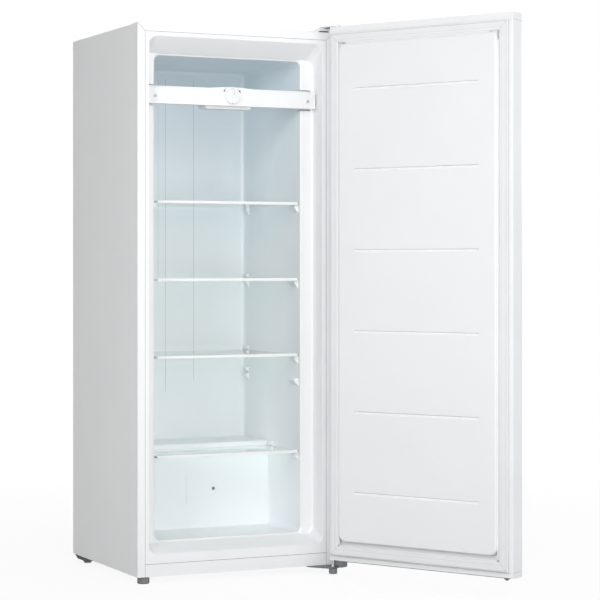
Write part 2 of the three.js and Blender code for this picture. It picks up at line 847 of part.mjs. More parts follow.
function lowerHingeSpacer() {
  const ring = PIN_RADIUS + 4;
  const z0 = 0;
  const z1 = DOOR_BOTTOM - GAP;
  const hole = PIN_RADIUS + PIN_CLEARANCE;
  const body = revolveZ(PIVOT.x, PIVOT.y, [[ring, z0], [ring, z1]], 24);
  return cut(body, revolveZ(PIVOT.x, PIVOT.y, [[hole, z0 - 1], [hole, z1 + 1]], 24));
}

/** The plate on the cabinet's top, its riser and the arm over the door with the pin. */
function topHingeBracket() {
  const { left, right, back, riser } = TOP_FOOT;
  const armLeft = armSide() + 1;
  const armRight = COVER_RIGHT - COVER_WALL - GAP;
  const armFront = PIVOT.y - PIN_RADIUS - 4;
  const low = HEIGHT + GAP;
  const foot = prismZ(
    outline([
      [left, riser - TOP_PLATE],
      [right, riser - TOP_PLATE],
      [right, back, 6],
      [left, back, 6],
    ]),
    low,
    low + TOP_PLATE,
  );
  const upright = block(armLeft, right, riser - TOP_PLATE, riser, low, TOP_ARM_Z + TOP_PLATE);
  const arm = prismZ(
    outline([
      [armLeft, riser],
      [armLeft, 0, 4],
      [PIVOT.x - PIN_RADIUS - 5, armFront, 6],
      [armRight, armFront, 5],
      [armRight, 0, 3],
      [right, riser],
    ]),
    TOP_ARM_Z,
    TOP_ARM_Z + TOP_PLATE,
  );
  const pinEnd = DOOR_TOP - PIN_REACH;
  const rings = [[PIN_RADIUS - 1, pinEnd], [PIN_RADIUS, pinEnd + 1], [PIN_RADIUS, TOP_ARM_Z + 1]];
  return join(foot, upright, arm, revolveZ(PIVOT.x, PIVOT.y, rings, 24));
}

/** The cover's outside, or the hollow under it when drawn in by its wall. */
function coverForm(inset) {
  const low = HEIGHT + GAP - (inset > 0 ? 1 : 0);
  const profile = outline([
    [COVER_LEFT + 3 * inset, low],
    [COVER_RIGHT - inset, low],
    [COVER_RIGHT - inset, COVER_TOP - inset, 2],
    [COVER_LEFT + COVER_SLOPE + inset, COVER_TOP - inset, 6],
  ]);
  const plan = outline([
    [COVER_LEFT, COVER_BACK - inset],
    [COVER_LEFT, 3 + inset],
    [COVER_LEFT + COVER_SLOPE, COVER_FRONT + inset, 14],
    [COVER_RIGHT - inset, COVER_FRONT + inset, 8],
    [COVER_RIGHT - inset, COVER_BACK - inset, 8],
  ]);
  const raised = prismY(profile, COVER_FRONT, COVER_BACK);
  return raised.intersect(prismZ(plan, HEIGHT - 1, COVER_TOP + 1));
}

/** Where the cover's solid front corner ends, beside the hinge arm. */
function armSide() {
  return COVER_LEFT + COVER_SLOPE + 2;
}

function topHingeCover() {
  const beforeArm = block(COVER_LEFT, armSide(), COVER_FRONT, 0, HEIGHT, COVER_TOP);
  const shell = cut(coverForm(0), cut(coverForm(COVER_WALL), beforeArm));
  const doorTop = block(COVER_LEFT - 5, WIDTH + 5, COVER_FRONT - 5, 0, HEIGHT - 5, DOOR_TOP + 1);
  return join(cut(shell, doorTop), coverSkirt());
}

/** The cover's skirt over the cabinet's front edge: a slot below, the hinge arm above. */
function coverSkirt() {
  const { left, right, height } = COVER_SLOT;
  const low = HEIGHT + GAP;
  const beside = block(COVER_LEFT, armSide(), 0, COVER_WALL, low, COVER_TOP);
  const underArm = block(armSide() - 1, COVER_RIGHT, 0, COVER_WALL, low, DOOR_TOP + 1);
  const slot = block(left, right, -1, COVER_WALL + 1, HEIGHT, HEIGHT + height);
  return cut(join(beside, underArm).intersect(coverForm(0)), slot);
}

function hingeHolePlug() {
  const { left, right, front, back, height, corner } = HOLE_PLUG;
  const plan = outline([
    [left, front, corner],
    [right, front, corner],
    [right, back, corner],
    [left, back, corner],
  ]);
  return prismZ(plan, HEIGHT + GAP, HEIGHT + GAP + height);
}

// ---- control bar and thermostat ----------------------------------------------------------------

function screwHoles() {
  const hole = BAR_SCREW_SHANK + 0.2;
  return [BAR_SCREW_X, mirrorX(BAR_SCREW_X)].map((x) =>
    revolveY(x, BAR_SCREW_Z, [[hole, BAR_FRONT - 5], [hole, POCKET.back + 16]], 12),
  );
}

/** The bar's front outline with its low crest over the knob, drawn in by a wall. */
function barShape(inset) {
  const left = RIM_SIDE + RECESS_DRAFT + RECESS_FILLET + inset;
  const bottom = BAR_BOTTOM + inset;
  const top = BAR_BOTTOM + BAR_HEIGHT - inset;
  const half = BAR_CREST_WIDTH / 2;
  const shape = new THREE.Shape();
  shape.moveTo(left, bottom);
  shape.lineTo(mirrorX(left), bottom);
  shape.lineTo(mirrorX(left), top);
  shape.lineTo(KNOB_X + half, top);
  shape.quadraticCurveTo(KNOB_X, top + 2 * BAR_CREST, KNOB_X - half, top);
  shape.lineTo(left, top);
  shape.closePath();
  return shape;
}

/** The bar's end tongues, which sit in the liner's pockets. */
function barTongues(front) {
  const left = POCKET.left + TONGUE_CLEARANCE;
  const right = CAVITY_SIDE - TONGUE_CLEARANCE;
  const low = BAR_BOTTOM + BAR_WALL;
  const high = BAR_BOTTOM + BAR_HEIGHT - BAR_WALL;
  const tongue = (x0, x1) => block(x0, x1, front, POCKET.back - GAP, low, high);
  return [tongue(left, right), tongue(mirrorX(right), mirrorX(left))];
}

function controlBar() {
  const back = RECESS_DEPTH - GAP;
  const body = prismY(barShape(0), BAR_FRONT, back, 12);
  const hollow = prismY(barShape(BAR_WALL), BAR_FRONT + BAR_WALL, back + 1, 12);
  const top = BAR_BOTTOM + BAR_HEIGHT;
  const lipSide = POCKET.left + TONGUE_CLEARANCE;
  const lip = block(lipSide, mirrorX(lipSide), back - BAR_WALL, back, top - 1, top + BAR_LIP);
  const tongues = barTongues(BAR_FRONT + BAR_WALL - WELD);
  const hole = SHAFT_RADIUS + 0.5;
  const shaftHole = revolveY(KNOB_X, KNOB_Z, [[hole, BAR_FRONT - 1], [hole, back + 1]], 20);
  return cut(join(cut(body, hollow), lip, ...tongues), shaftHole, ...screwHoles());
}

function barScrew(x) {
  const shank = POCKET.back + 14;
  const face = BAR_FRONT - GAP;
  const rings = [
    [BAR_SCREW_RADIUS - 1.2, face - 1.6],
    [BAR_SCREW_RADIUS, face - 0.6],
    [BAR_SCREW_RADIUS, face],
    [BAR_SCREW_SHANK, face],
    [BAR_SCREW_SHANK, shank],
  ];
  return revolveY(x, BAR_SCREW_Z, rings, 12);
}

function thermostatKnob() {
  const back = BAR_FRONT - GAP;
  const front = back - KNOB_DEPTH;
  const rings = [
    [KNOB_RADIUS - 3, front],
    [KNOB_RADIUS - 1, front + 1],
    [KNOB_RADIUS, front + 3],
    [KNOB_RADIUS, back],
    [SHAFT_RADIUS, back],
    [SHAFT_RADIUS, RECESS_DEPTH + 10],
  ];
  const grip = prismY(
    outline([
      [KNOB_X - KNOB_GRIP.width / 2, KNOB_Z - KNOB_RADIUS + 2, 3],
      [KNOB_X + KNOB_GRIP.width / 2, KNOB_Z - KNOB_RADIUS + 2, 3],
      [KNOB_X + KNOB_GRIP.width / 2, KNOB_Z + KNOB_RADIUS - 2, 3],
      [KNOB_X - KNOB_GRIP.width / 2, KNOB_Z + KNOB_RADIUS - 2, 3],
    ]),
    front - KNOB_GRIP.height,
    front + 2,
  );
  return join(revolveY(KNOB_X, KNOB_Z, rings, 36), grip);
}

function thermostatHousing() {
  const { back, bottom, top } = HOUSING;
  const left = KNOB_X - HOUSING_HALF;
  const right = KNOB_X + HOUSING_HALF;
  const body = prismY(
    outline([
      [left, bottom, 8],
      [right, bottom, 8],
      [right, top, 4],
      [left, top, 4],
    ]),
    RECESS_DEPTH,
    back,
  );
  const hole = SHAFT_RADIUS + 0.5;
  const bore = [[hole, RECESS_DEPTH - 1], [hole, RECESS_DEPTH + 12]];
  return cut(body, revolveY(KNOB_X, KNOB_Z, bore, 20));
}

// ---- shelves --------------------------------------------------------------------------------

function shelfDepth(level) {
  return level === SHELF_LEVELS.at(-1) ? LOW_GLASS_BACK : GLASS_BACK;
}

function shelfGlass(level) {
  const half = GLASS_THICK / 2;
  const back = shelfDepth(level);
  return block(GLASS_SIDE, mirrorX(GLASS_SIDE), GLASS_FRONT, back, level - half, level + half);
}

/** The clipped-on front trim, a C that holds the front edge of the glass. */
function shelfTrim(level) {
  const front = GLASS_FRONT - TRIM_WALL - GAP;
  const back = front + TRIM_DEPTH;
  const low = level - TRIM_HEIGHT / 2;
  const high = level + TRIM_HEIGHT / 2;
  const slot = GLASS_THICK / 2 + GAP;
  const profile = outline([
    [front, low, 1.5],
    [back, low],
    [back, level - slot],
    [front + TRIM_WALL, level - slot],
    [front + TRIM_WALL, level + slot],
    [back, level + slot],
    [back, high],
    [front, high, 1.5],
  ]);
  return prismX(profile, TRIM_SIDE, mirrorX(TRIM_SIDE));
}

/** A rear holder: a tab over the glass, a slot for its edge and a peg that slopes to the wall. */
function shelfClip(level, right) {
  const wall = CAVITY_SIDE + CAVITY_DRAFT + GAP;
  const slotTop = level + CLIP_SLOT / 2;
  const slotBottom = level - GLASS_THICK / 2 - GAP;
  const tip = CAVITY_SIDE + REST_REACH;
  const profile = outline([
    [wall, slotTop + CLIP_TAB],
    [wall, slotBottom - REST_HEIGHT],
    [tip, slotBottom - REST_HEIGHT / 4, 2],
    [tip, slotBottom],
    [wall + CLIP_WEB, slotBottom],
    [wall + CLIP_WEB, slotTop],
    [CAVITY_SIDE + CLIP_TAB_REACH, slotTop],
    [CAVITY_SIDE + CLIP_TAB_REACH, slotTop + CLIP_TAB, 1.5],
  ]);
  const back = shelfDepth(level);
  return onSide(prismY(profile, back - CLIP_LENGTH, back - 1), right);
}

// ---- door -----------------------------------------------------------------------------------

const DOOR_INNER = -DOOR_GAP;
const DOOR_OUTER = -DOOR_GAP - DOOR_THICK;
const DOOR_BODY_LOW = DOOR_BOTTOM + DOOR_CAP_BOTTOM;
const DOOR_BODY_HIGH = DOOR_TOP - DOOR_CAP_TOP;

/** The door's plan outline, drawn in by an inset, with both front edges rounded. */
function doorPlan(inset, innerFace) {
  const radius = DOOR_EDGE - inset;
  return outline([
    [inset, innerFace],
    [inset, DOOR_OUTER + inset, radius],
    [WIDTH - inset, DOOR_OUTER + inset, radius],
    [WIDTH - inset, innerFace],
  ]);
}

function doorSkin() {
  const low = DOOR_BODY_LOW + GAP;
  const high = DOOR_BODY_HIGH - GAP;
  const body = prismZ(doorPlan(0, DOOR_INNER), low, high);
  const hollow = prismZ(doorPlan(SHEET, DOOR_INNER - SHEET), low - 1, high + 1);
  const mouth = block(DOOR_LIP, mirrorX(DOOR_LIP), DOOR_INNER - 2 * SHEET, 0, low - 1, high + 1);
  return cut(body, hollow, mouth);
}

function doorCap(low, high, pinLow, pinHigh) {
  const body = prismZ(doorPlan(0, DOOR_INNER), low, high);
  const hole = PIN_RADIUS + PIN_CLEARANCE;
  return cut(body, revolveZ(PIVOT.x, PIVOT.y, [[hole, pinLow], [hole, pinHigh]], 24));
}

function doorTopCap() {
  return doorCap(DOOR_BODY_HIGH, DOOR_TOP, DOOR_TOP - PIN_REACH - GAP, DOOR_TOP + 1);
}

function doorBottomCap() {
  const { inset, stem, reach } = DOOR_PLUG;
  const rings = [[stem + GAP, DOOR_BOTTOM - 1], [stem + GAP, DOOR_BOTTOM + reach + GAP]];
  const cap = doorCap(DOOR_BOTTOM, DOOR_BODY_LOW, DOOR_BOTTOM - 1, DOOR_BOTTOM + PIN_REACH + GAP);
  return cut(cap, revolveZ(inset, PIVOT.y, rings, 16));
}

/** The raised inner panel with its row of grooves, drawn in by a wall. */
function doorPanel(inset) {
  const loopAt = (y, reach) =>
    rectangleLoop(
      y,
      PANEL_SIDE + reach,
      mirrorX(PANEL_SIDE + reach),
      PANEL_BOTTOM + reach,
      PANEL_TOP - reach,
      PANEL_CORNER - reach,
    );
  const face = DOOR_INNER + PANEL_RISE - inset;
  const edge = 4;
  const body = loft([
    loopAt(DOOR_INNER - 6, inset - PANEL_DRAFT),
    loopAt(face - edge, inset),
    loopAt(face - edge / 3, inset + edge / 3),
    loopAt(face, inset + edge),
  ]);
  const grooves = Array.from({ length: GROOVE_COUNT }, (_, i) => {
    const z = GROOVE_LOW + i * GROOVE_PITCH;
    const half = GROOVE_HEIGHT / 2 + inset;
    const floor = face - GROOVE_DEPTH;
    const profile = outline([
      [floor, z - half + 2],
      [floor, z + half - 2],
      [face + 1, z + half],
      [face + 1, z - half],
    ]);
    return prismX(profile, GROOVE_LEFT - inset, mirrorX(GROOVE_LEFT - inset));
  });
  return cut(body, ...grooves);
}

function doorLiner() {
  const low = DOOR_BODY_LOW + GAP;
  const high = DOOR_BODY_HIGH - GAP;
  const side = DOOR_LIP + GAP;
  const flange = block(side, mirrorX(side), DOOR_INNER - LINER_WALL, DOOR_INNER, low, high);
  const behind = block(0, WIDTH, DOOR_OUTER, DOOR_INNER - LINER_WALL, 0, HEIGHT);
  return cut(join(flange, doorPanel(0)), doorPanel(LINER_WALL), behind);
}

function doorFoam() {
  const face = DOOR_INNER - LINER_WALL - GAP;
  const core = prismZ(doorPlan(INSIDE, face), DOOR_BODY_LOW + GAP, DOOR_BODY_HIGH - GAP);
  return join(core, doorPanel(LINER_WALL + GAP));
}

/** The magnetic gasket: a foot on the door, a bellows neck and the magnet strip in front. */
function doorGasket() {
  const foot = DOOR_INNER + GAP;
  const face = -GAP;
  const profile = [
    [4, foot],
    [GASKET_WIDTH - 5, foot],
    [GASKET_WIDTH - 5, foot + 3],
    [GASKET_WIDTH, foot + 6],
    [GASKET_WIDTH - 1, face - 3],
    [GASKET_WIDTH - 4, face],
    [2, face],
    [0, face - 2],
    [0, foot + 7],
    [4, foot + 4],
  ];
  const low = DOOR_BODY_LOW + 2;
  const high = DOOR_BODY_HIGH - 1;
  return frame(GASKET_INSET, mirrorX(GASKET_INSET), low, high, profile);
}

/** The stop under the door beside the pin. */
function doorStop() {
  const { near, far, hook, front, back, thick, hookDrop } = STOP;
  const top = DOOR_BOTTOM - GAP;
  const arm = block(WIDTH - far, WIDTH - near, front, back, top - thick, top);
  const hookLow = top - thick - hookDrop + GAP;
  const end = block(WIDTH - far, WIDTH - far + hook, front, back, hookLow, top);
  return join(arm, end);
}

/** The tapered plug in the screw hole that the stop would use with the door hung the other way. */
function doorHolePlug() {
  const { inset, radius, tip, height, stem, reach } = DOOR_PLUG;
  const top = DOOR_BOTTOM - GAP;
  const rings = [
    [tip - 1, top - height],
    [tip, top - height + 1],
    [radius, top - 1.5],
    [radius, top],
    [stem, top],
    [stem, DOOR_BOTTOM + reach],
  ];
  return revolveZ(inset, PIVOT.y, rings, 16);
}

// ---- assembly -------------------------------------------------------------------------------

const root = new THREE.Group();
root.name = "upright_freezer";

function add(name, solid, material) {
  const mesh = new THREE.Mesh(geometryOf(solid), new THREE.MeshStandardMaterial(MATERIALS[material]));
  mesh.name = name;
  mesh.geometry.translate(0, 0, FOOT_HEIGHT);
  root.add(mesh);
  return mesh;
}

function addDoor(name, solid, material) {
  const mesh = add(name, solid, material);
  mesh.geometry.translate(-PIVOT.x, -PIVOT.y, 0);
  mesh.geometry.rotateZ(THREE.MathUtils.degToRad(DOOR_OPEN_DEG));
  mesh.geometry.translate(PIVOT.x, PIVOT.y, 0);
}

function addCabinet() {
  add("outer_wrapper", outerWrapper(), "paintedSteel");
  add("back_panel", backPanel(), "zincSteel");
  add("cabinet_liner", cabinetLiner(), "linerPlastic");
  add("cabinet_foam", cabinetFoam(), "foam");
  add("kick_plate", kickPlate(), "whitePlastic");
  add("base_pan", basePan(), "zincSteel");
  add("probe_hole_plug", probePlug(), "greyPlastic");
}

function addCompressorBay() {
  add("bay_panel", bayPanel(), "zincSteel");
  add("compressor_base", compressorBase(), "zincSteel");
  add("compressor", compressorBody(), "blackSteel");
  add("compressor_relay_cover", relayCover(), "blackPlastic");
  add("suction_pipe", suctionPipe(), "copper");
  add("discharge_pipe", dischargePipe(), "copper");
  add("filter_drier", filterDrier(), "copper");
}

function addFeet() {
  for (const [side, foot] of [["left", LEFT_FOOT], ["right", RIGHT_FOOT]]) {
    add(`foot_pad_${side}`, footPad(foot), "greyPlastic");
    add(`foot_stud_${side}`, footStud(foot), "zincSteel");
  }
  for (const side of ["left", "right"]) {
    add(`roller_bracket_${side}`, rollerBracket(side === "right"), "blackSteel");
    add(`rear_roller_${side}`, rearRoller(side === "right"), "blackPlastic");
    add(`roller_axle_${side}`, rollerAxle(side === "right"), "zincSteel");
  }
}

function addHinges() {
  add("lower_hinge_bracket", lowerHingeBracket(), "zincSteel");
  add("lower_hinge_spacer", lowerHingeSpacer(), "greyPlastic");
  add("top_hinge_bracket", topHingeBracket(), "zincSteel");
  add("top_hinge_cover", topHingeCover(), "whitePlastic");
  add("hinge_hole_plug", hingeHolePlug(), "whitePlastic");
}

function addControls() {
  add("control_bar", controlBar(), "whitePlastic");
  add("thermostat_knob", thermostatKnob(), "whitePlastic");
  add("thermostat_housing", thermostatHousing(), "whitePlastic");
  add("bar_screw_left", barScrew(BAR_SCREW_X), "zincSteel");
  add("bar_screw_right", barScrew(mirrorX(BAR_SCREW_X)), "zincSteel");
}

function addShelves() {
  SHELF_LEVELS.forEach((level, i) => {
    add(`shelf_glass_${i + 1}`, shelfGlass(level), "glass");
    add(`shelf_trim_${i + 1}`, shelfTrim(level), "whitePlastic");
  });
  shelfLevels().forEach((level, i) => {
    add(`shelf_clip_left_${i + 1}`, shelfClip(level, false), "whitePlastic");
    add(`shelf_clip_right_${i + 1}`, shelfClip(level, true), "whitePlastic");
  });
}

function addDoorPieces() {
  addDoor("door_skin", doorSkin(), "paintedSteel");
  addDoor("door_liner", doorLiner(), "linerPlastic");
  addDoor("door_foam", doorFoam(), "foam");
  addDoor("door_gasket", doorGasket(), "gasket");
  addDoor("door_top_cap", doorTopCap(), "whitePlastic");
  addDoor("door_bottom_cap", doorBottomCap(), "whitePlastic");
  addDoor("door_stop", doorStop(), "greyPlastic");
  addDoor("door_hole_plug", doorHolePlug(), "greyPlastic");
}

addCabinet();
addCompressorBay();
addFeet();
addHinges();
addControls();
addShelves();
addDoorPieces();

// The origin is on the floor, in the middle of the footprint with the door open.
const bounds = new THREE.Box3().setFromObject(root);
const middle = bounds.getCenter(new THREE.Vector3());
root.children.forEach((mesh) => mesh.geometry.translate(-middle.x, -middle.y, -bounds.min.z));

export default root;
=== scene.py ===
"""Looks of the upright freezer: materials, fine detail, light and camera.

The frame's axes are in metres: +X towards the hinge side, +Y towards the back, +Z up.
"""

import math

import bmesh
import bpy
from mathutils import Matrix, Vector


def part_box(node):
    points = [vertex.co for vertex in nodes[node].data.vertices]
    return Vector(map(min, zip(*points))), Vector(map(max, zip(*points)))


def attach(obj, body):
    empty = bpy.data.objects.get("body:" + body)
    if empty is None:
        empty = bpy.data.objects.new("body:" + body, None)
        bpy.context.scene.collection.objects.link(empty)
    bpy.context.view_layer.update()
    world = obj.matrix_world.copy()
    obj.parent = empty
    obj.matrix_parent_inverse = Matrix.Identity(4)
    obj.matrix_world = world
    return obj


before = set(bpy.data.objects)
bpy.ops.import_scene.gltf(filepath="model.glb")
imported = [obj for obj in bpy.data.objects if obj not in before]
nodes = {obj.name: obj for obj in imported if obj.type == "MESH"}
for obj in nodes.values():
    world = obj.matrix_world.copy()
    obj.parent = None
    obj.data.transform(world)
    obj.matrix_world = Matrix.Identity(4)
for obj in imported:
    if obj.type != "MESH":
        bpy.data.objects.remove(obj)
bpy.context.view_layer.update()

MM = 0.001

# ---- camera: fitted to the photograph's straight edges -------------------------------

CAMERA_PLACE = (-2.2430, -4.7875, 0.7990)
CAMERA_YAW_DEG = 25.438
CAMERA_PITCH_DEG = -0.128
CAMERA_REACH = 100.0
FOCAL_PX = 2034.1
AXIS_ROW_PX = 272.48
IMAGE_PX = 600
SENSOR_MM = 36.0


def make_camera():
    """The photograph's camera."""
    data = bpy.data.cameras.new("camera")
    data.sensor_width = SENSOR_MM
    data.lens = FOCAL_PX / IMAGE_PX * SENSOR_MM
    data.shift_y = (AXIS_ROW_PX - IMAGE_PX / 2) / IMAGE_PX
    data.clip_end = CAMERA_REACH
    camera = bpy.data.objects.new("camera", data)
    camera.location = CAMERA_PLACE
    pitch = math.radians(90 + CAMERA_PITCH_DEG)
    camera.rotation_euler = (pitch, 0, math.radians(-CAMERA_YAW_DEG))
    bpy.context.scene.collection.objects.link(camera)
    bpy.context.scene.camera = camera


# ---- material helpers ----------------------------------------------------------------

# Noise mostly stays within its span, and the tones of cells fill the whole one.
NOISE_SPAN = (0.3, 0.7)
FULL_SPAN = (0.0, 1.0)
NOISE_DETAIL = 3.0

# The mix node's colour sockets share their names with those of its other data types, so
# they go by number.
MIX_FIRST, MIX_SECOND, MIX_RESULT = 6, 7, 2


class Shader:
    """A Principled material fed by textures in object space."""

    def __init__(self, name):
        self.material = bpy.data.materials.new(name)
        self.material.use_nodes = True
        self.tree = self.material.node_tree
        self.bsdf = self.tree.nodes["Principled BSDF"]
        self.coords = self.add("ShaderNodeTexCoord").outputs["Object"]

    def add(self, kind, **settings):
        node = self.tree.nodes.new(kind)
        for key, value in settings.items():
            setattr(node, key, value)
        return node

    def link(self, source, target):
        self.tree.links.new(source, target)

    def set(self, **values):
        """Set the Principled shader's own sockets; _ stands for a space in a name."""
        for key, value in values.items():
            self.bsdf.inputs[key.replace("_", " ")].default_value = value

    def noise(self, scale, detail=NOISE_DETAIL, stretch=None):
        node = self.add("ShaderNodeTexNoise")
        node.inputs["Scale"].default_value = scale
        node.inputs["Detail"].default_value = detail
        source = self.coords
        if stretch:
            mapping = self.add("ShaderNodeMapping")
            mapping.inputs["Scale"].default_value = stretch
            self.link(self.coords, mapping.inputs["Vector"])
            source = mapping.outputs["Vector"]
        self.link(source, node.inputs["Vector"])
        return node.outputs["Fac"]

    def cells(self, scale):
        """The outputs of a texture of irregular cells."""
        node = self.add("ShaderNodeTexVoronoi", feature="F1")
        node.inputs["Scale"].default_value = scale
        self.link(self.coords, node.inputs["Vector"])
        return node.outputs

    def ramp(self, source, low=0.0, high=1.0, span=NOISE_SPAN):
        """The source's span mapped to the range from low to high."""
        node = self.add("ShaderNodeMapRange")
        sockets = ("From Min", "From Max", "To Min", "To Max")
        for socket, value in zip(sockets, (*span, low, high)):
            node.inputs[socket].default_value = value
        self.link(source, node.inputs["Value"])
        return node.outputs["Result"]

    def mix(self, factor, first, second):
        """A blend of two colours, each a linear tuple or a socket."""
        node = self.add("ShaderNodeMix", data_type="RGBA")
        self.link(factor, node.inputs["Factor"])
        for number, value in ((MIX_FIRST, first), (MIX_SECOND, second)):
            if isinstance(value, tuple):
                node.inputs[number].default_value = (*value, 1.0)
            else:
                self.link(value, node.inputs[number])
        return node.outputs[MIX_RESULT]

    def drift(self, scale, first, second, stretch=None):
        """A colour that drifts between two."""
        return self.mix(self.ramp(self.noise(scale, stretch=stretch)), first, second)

    def color(self, source):
        self.link(source, self.bsdf.inputs["Base Color"])

    def rough(self, source):
        self.link(source, self.bsdf.inputs["Roughness"])

    def gloss(self, scale, low, high):
        """A roughness that drifts between two."""
        self.rough(self.ramp(self.noise(scale), low, high))

    def grain(self, scale, depth_mm, detail=NOISE_DETAIL):
        """A fine unevenness of the surface."""
        self.bump(self.noise(scale, detail), depth_mm)

    def bump(self, height, depth_mm):
        node = self.add("ShaderNodeBump")
        node.inputs["Distance"].default_value = depth_mm * MM
        self.link(height, node.inputs["Height"])
        self.link(node.outputs["Normal"], self.bsdf.inputs["Normal"])

    def blend(self, share, other):
        """Show another shader in the Principled one's place, by the given share."""
        node = self.add("ShaderNodeMixShader")
        self.link(share, node.inputs[0])
        self.link(self.bsdf.outputs[0], node.inputs[1])
        self.link(other.outputs[0], node.inputs[2])
        output = self.tree.nodes["Material Output"]
        self.link(node.outputs[0], output.inputs["Surface"])


def linear(*srgb):
    """Linear colour from eight-bit sRGB numbers above 10."""
    return tuple(((c / 255 + 0.055) / 1.055) ** 2.4 for c in srgb)


# ---- materials -----------------------------------------------------------------------

# Moulded, painted and extruded surfaces: pale tone, dark tone, roughness, scale of the
# skin's grain and its depth in mm.
SKINS = {
    "painted_steel": ((246, 247, 248), (243, 244, 245), (0.28, 0.36), 420.0, 0.01),
    "white_plastic": ((245, 246, 247), (242, 243, 244), (0.3, 0.4), 700.0, 0.03),
    "panel_plastic": ((244, 245, 246), (241, 243, 244), (0.3, 0.42), 600.0, 0.01),
    "gasket_vinyl": ((240, 241, 242), (236, 237, 238), (0.45, 0.6), 500.0, 0.05),
    "grey_plastic": ((128, 130, 132), (112, 114, 116), (0.45, 0.62), 1400.0, 0.06),
    "black_plastic": ((38, 39, 41), (28, 29, 31), (0.4, 0.55), 1400.0, 0.06),
    "black_steel": ((34, 35, 37), (26, 27, 28), (0.35, 0.5), 500.0, 0.06),
    # A tone whiter than the panel's: a painted highlight on the lower slope of the
    # door's grooves, which also catches light by its tilt.
    "groove_painted_highlight": ((253, 253, 254), (251, 252, 253), (0.2, 0.3), 600.0, 0.01),
}
# Other sockets that some of their shaders set.
SKIN_SOCKETS = {
    "painted_steel": {"Coat_Weight": 0.25, "Coat_Roughness": 0.15},
    "gasket_vinyl": {"Sheen_Weight": 0.1, "Sheen_Roughness": 0.4},
    "black_steel": {"Specular_IOR_Level": 0.2},
}
DRIFT_SCALE = 4.0
GLOSS_SCALE = 30.0
GRAIN_DETAIL = 2.0

# The tones of fine joints and prints, and of lines that paint shade into grooves,
# recesses and moulded lines.
LINES = {
    # Fine dark joints, the painted shade of the bar screws' cross recesses, and the
    # dark strip along the door's lower edge.
    "seam_and_shade_line": (112, 115, 118),
    # Print, and the painted shade of the probe hole.
    "print_and_hole_shade": (122, 125, 128),
    # Painted shade along the moulded lines of the liner.
    "liner_shade_line": (190, 201, 208),
    # Joints of the door, and painted shade in the gasket's grooves.
    "gasket_joint_and_groove_shade": (190, 193, 195),
    # A painted shade along the upper lip of the door's grooves.
    "groove_shade": (238, 239, 240),
}
LINE_DARK_SHARE = 0.85
LINE_TEXTURE = ((0.5, 0.65), 900.0, 0.01)

# Where a painted cool shade takes over the liner's colour, by depth and by height in
# the frame.
LINER_SHADE_Y = (0.072, 0.115)
LINER_SHADE_Z = (0.8, 1.35)


def skin(shader, pale, dark, rough, grain, depth_mm):
    """A faint drift of colour, uneven gloss and a fine skin texture."""
    shader.color(shader.drift(DRIFT_SCALE, dark, pale))
    shader.gloss(GLOSS_SCALE, *rough)
    shader.grain(grain, depth_mm, GRAIN_DETAIL)


def liner_plastic(shader):
    """White polystyrene, neutral at the front rim, with a painted cool shade deeper in
    the cavity and higher up.
    """
    tones = (linear(244, 245, 246), linear(246, 247, 248))
    front = shader.drift(DRIFT_SCALE, *tones)
    place = shader.add("ShaderNodeSeparateXYZ")
    shader.link(shader.coords, place.inputs[0])
    height = shader.ramp(place.outputs["Z"], span=LINER_SHADE_Z)
    # These cooler tones are painted shade of the cavity, bluer higher up.
    cold_shade = shader.mix(height, linear(243, 247, 249), linear(234, 244, 250))
    depth = shader.ramp(place.outputs["Y"], span=LINER_SHADE_Y)
    shader.color(shader.mix(depth, front, cold_shade))
    shader.gloss(GLOSS_SCALE, low=0.28, high=0.36)
    shader.grain(600.0, depth_mm=0.008, detail=GRAIN_DETAIL)


def zinc_steel(shader):
    """Galvanised sheet, whose crystals differ in brightness and gloss."""
    tone = shader.add("ShaderNodeSeparateColor")
    shader.link(shader.cells(150.0)["Color"], tone.inputs["Color"])
    bright = shader.ramp(tone.outputs["Red"], span=FULL_SPAN)
    shader.color(shader.mix(bright, linear(186, 190, 193), linear(206, 209, 212)))
    shader.rough(shader.ramp(tone.outputs["Green"], 0.28, 0.46, FULL_SPAN))
    shader.grain(300.0, depth_mm=0.03)
    shader.set(Metallic=0.85)


def dull_zinc(shader):
    """Zinc plate, darker and duller than the galvanised sheet, as on the hinge
    brackets.
    """
    shader.color(shader.drift(180.0, linear(92, 94, 96), linear(118, 120, 122)))
    shader.gloss(220.0, low=0.36, high=0.5)
    shader.grain(500.0, depth_mm=0.03)
    shader.set(Metallic=0.6)


def copper(shader):
    """Drawn copper, with its drift of tone stretched upwards."""
    tones = (linear(196, 122, 86), linear(160, 92, 62))
    shader.color(shader.drift(60.0, *tones, stretch=(1, 1, 0.3)))
    shader.gloss(140.0, low=0.22, high=0.42)
    shader.grain(900.0, depth_mm=0.02)
    shader.set(Metallic=1.0)


def foam(shader):
    """Cream polyurethane foam with fine closed cells."""
    distance = shader.cells(700.0)["Distance"]
    depth = shader.ramp(distance, span=(0.0, 0.8))
    shader.color(shader.mix(depth, linear(226, 214, 170), linear(240, 231, 194)))
    shader.gloss(90.0, low=0.8, high=0.95)
    shader.bump(distance, depth_mm=0.4)


GLASS_SHADOW = (0.88, 0.93, 0.92, 1)


def shelf_glass(shader):
    """Float glass with a faint green tint, which lets the lamps' light through."""
    shader.color(shader.drift(8.0, linear(243, 250, 249), linear(238, 248, 246)))
    shader.gloss(20.0, low=0.0, high=0.03)
    shader.set(Transmission_Weight=1.0, IOR=1.5)
    through = shader.add("ShaderNodeBsdfTransparent")
    through.inputs["Color"].default_value = GLASS_SHADOW
    path = shader.add("ShaderNodeLightPath")
    shader.blend(path.outputs["Is Shadow Ray"], through)


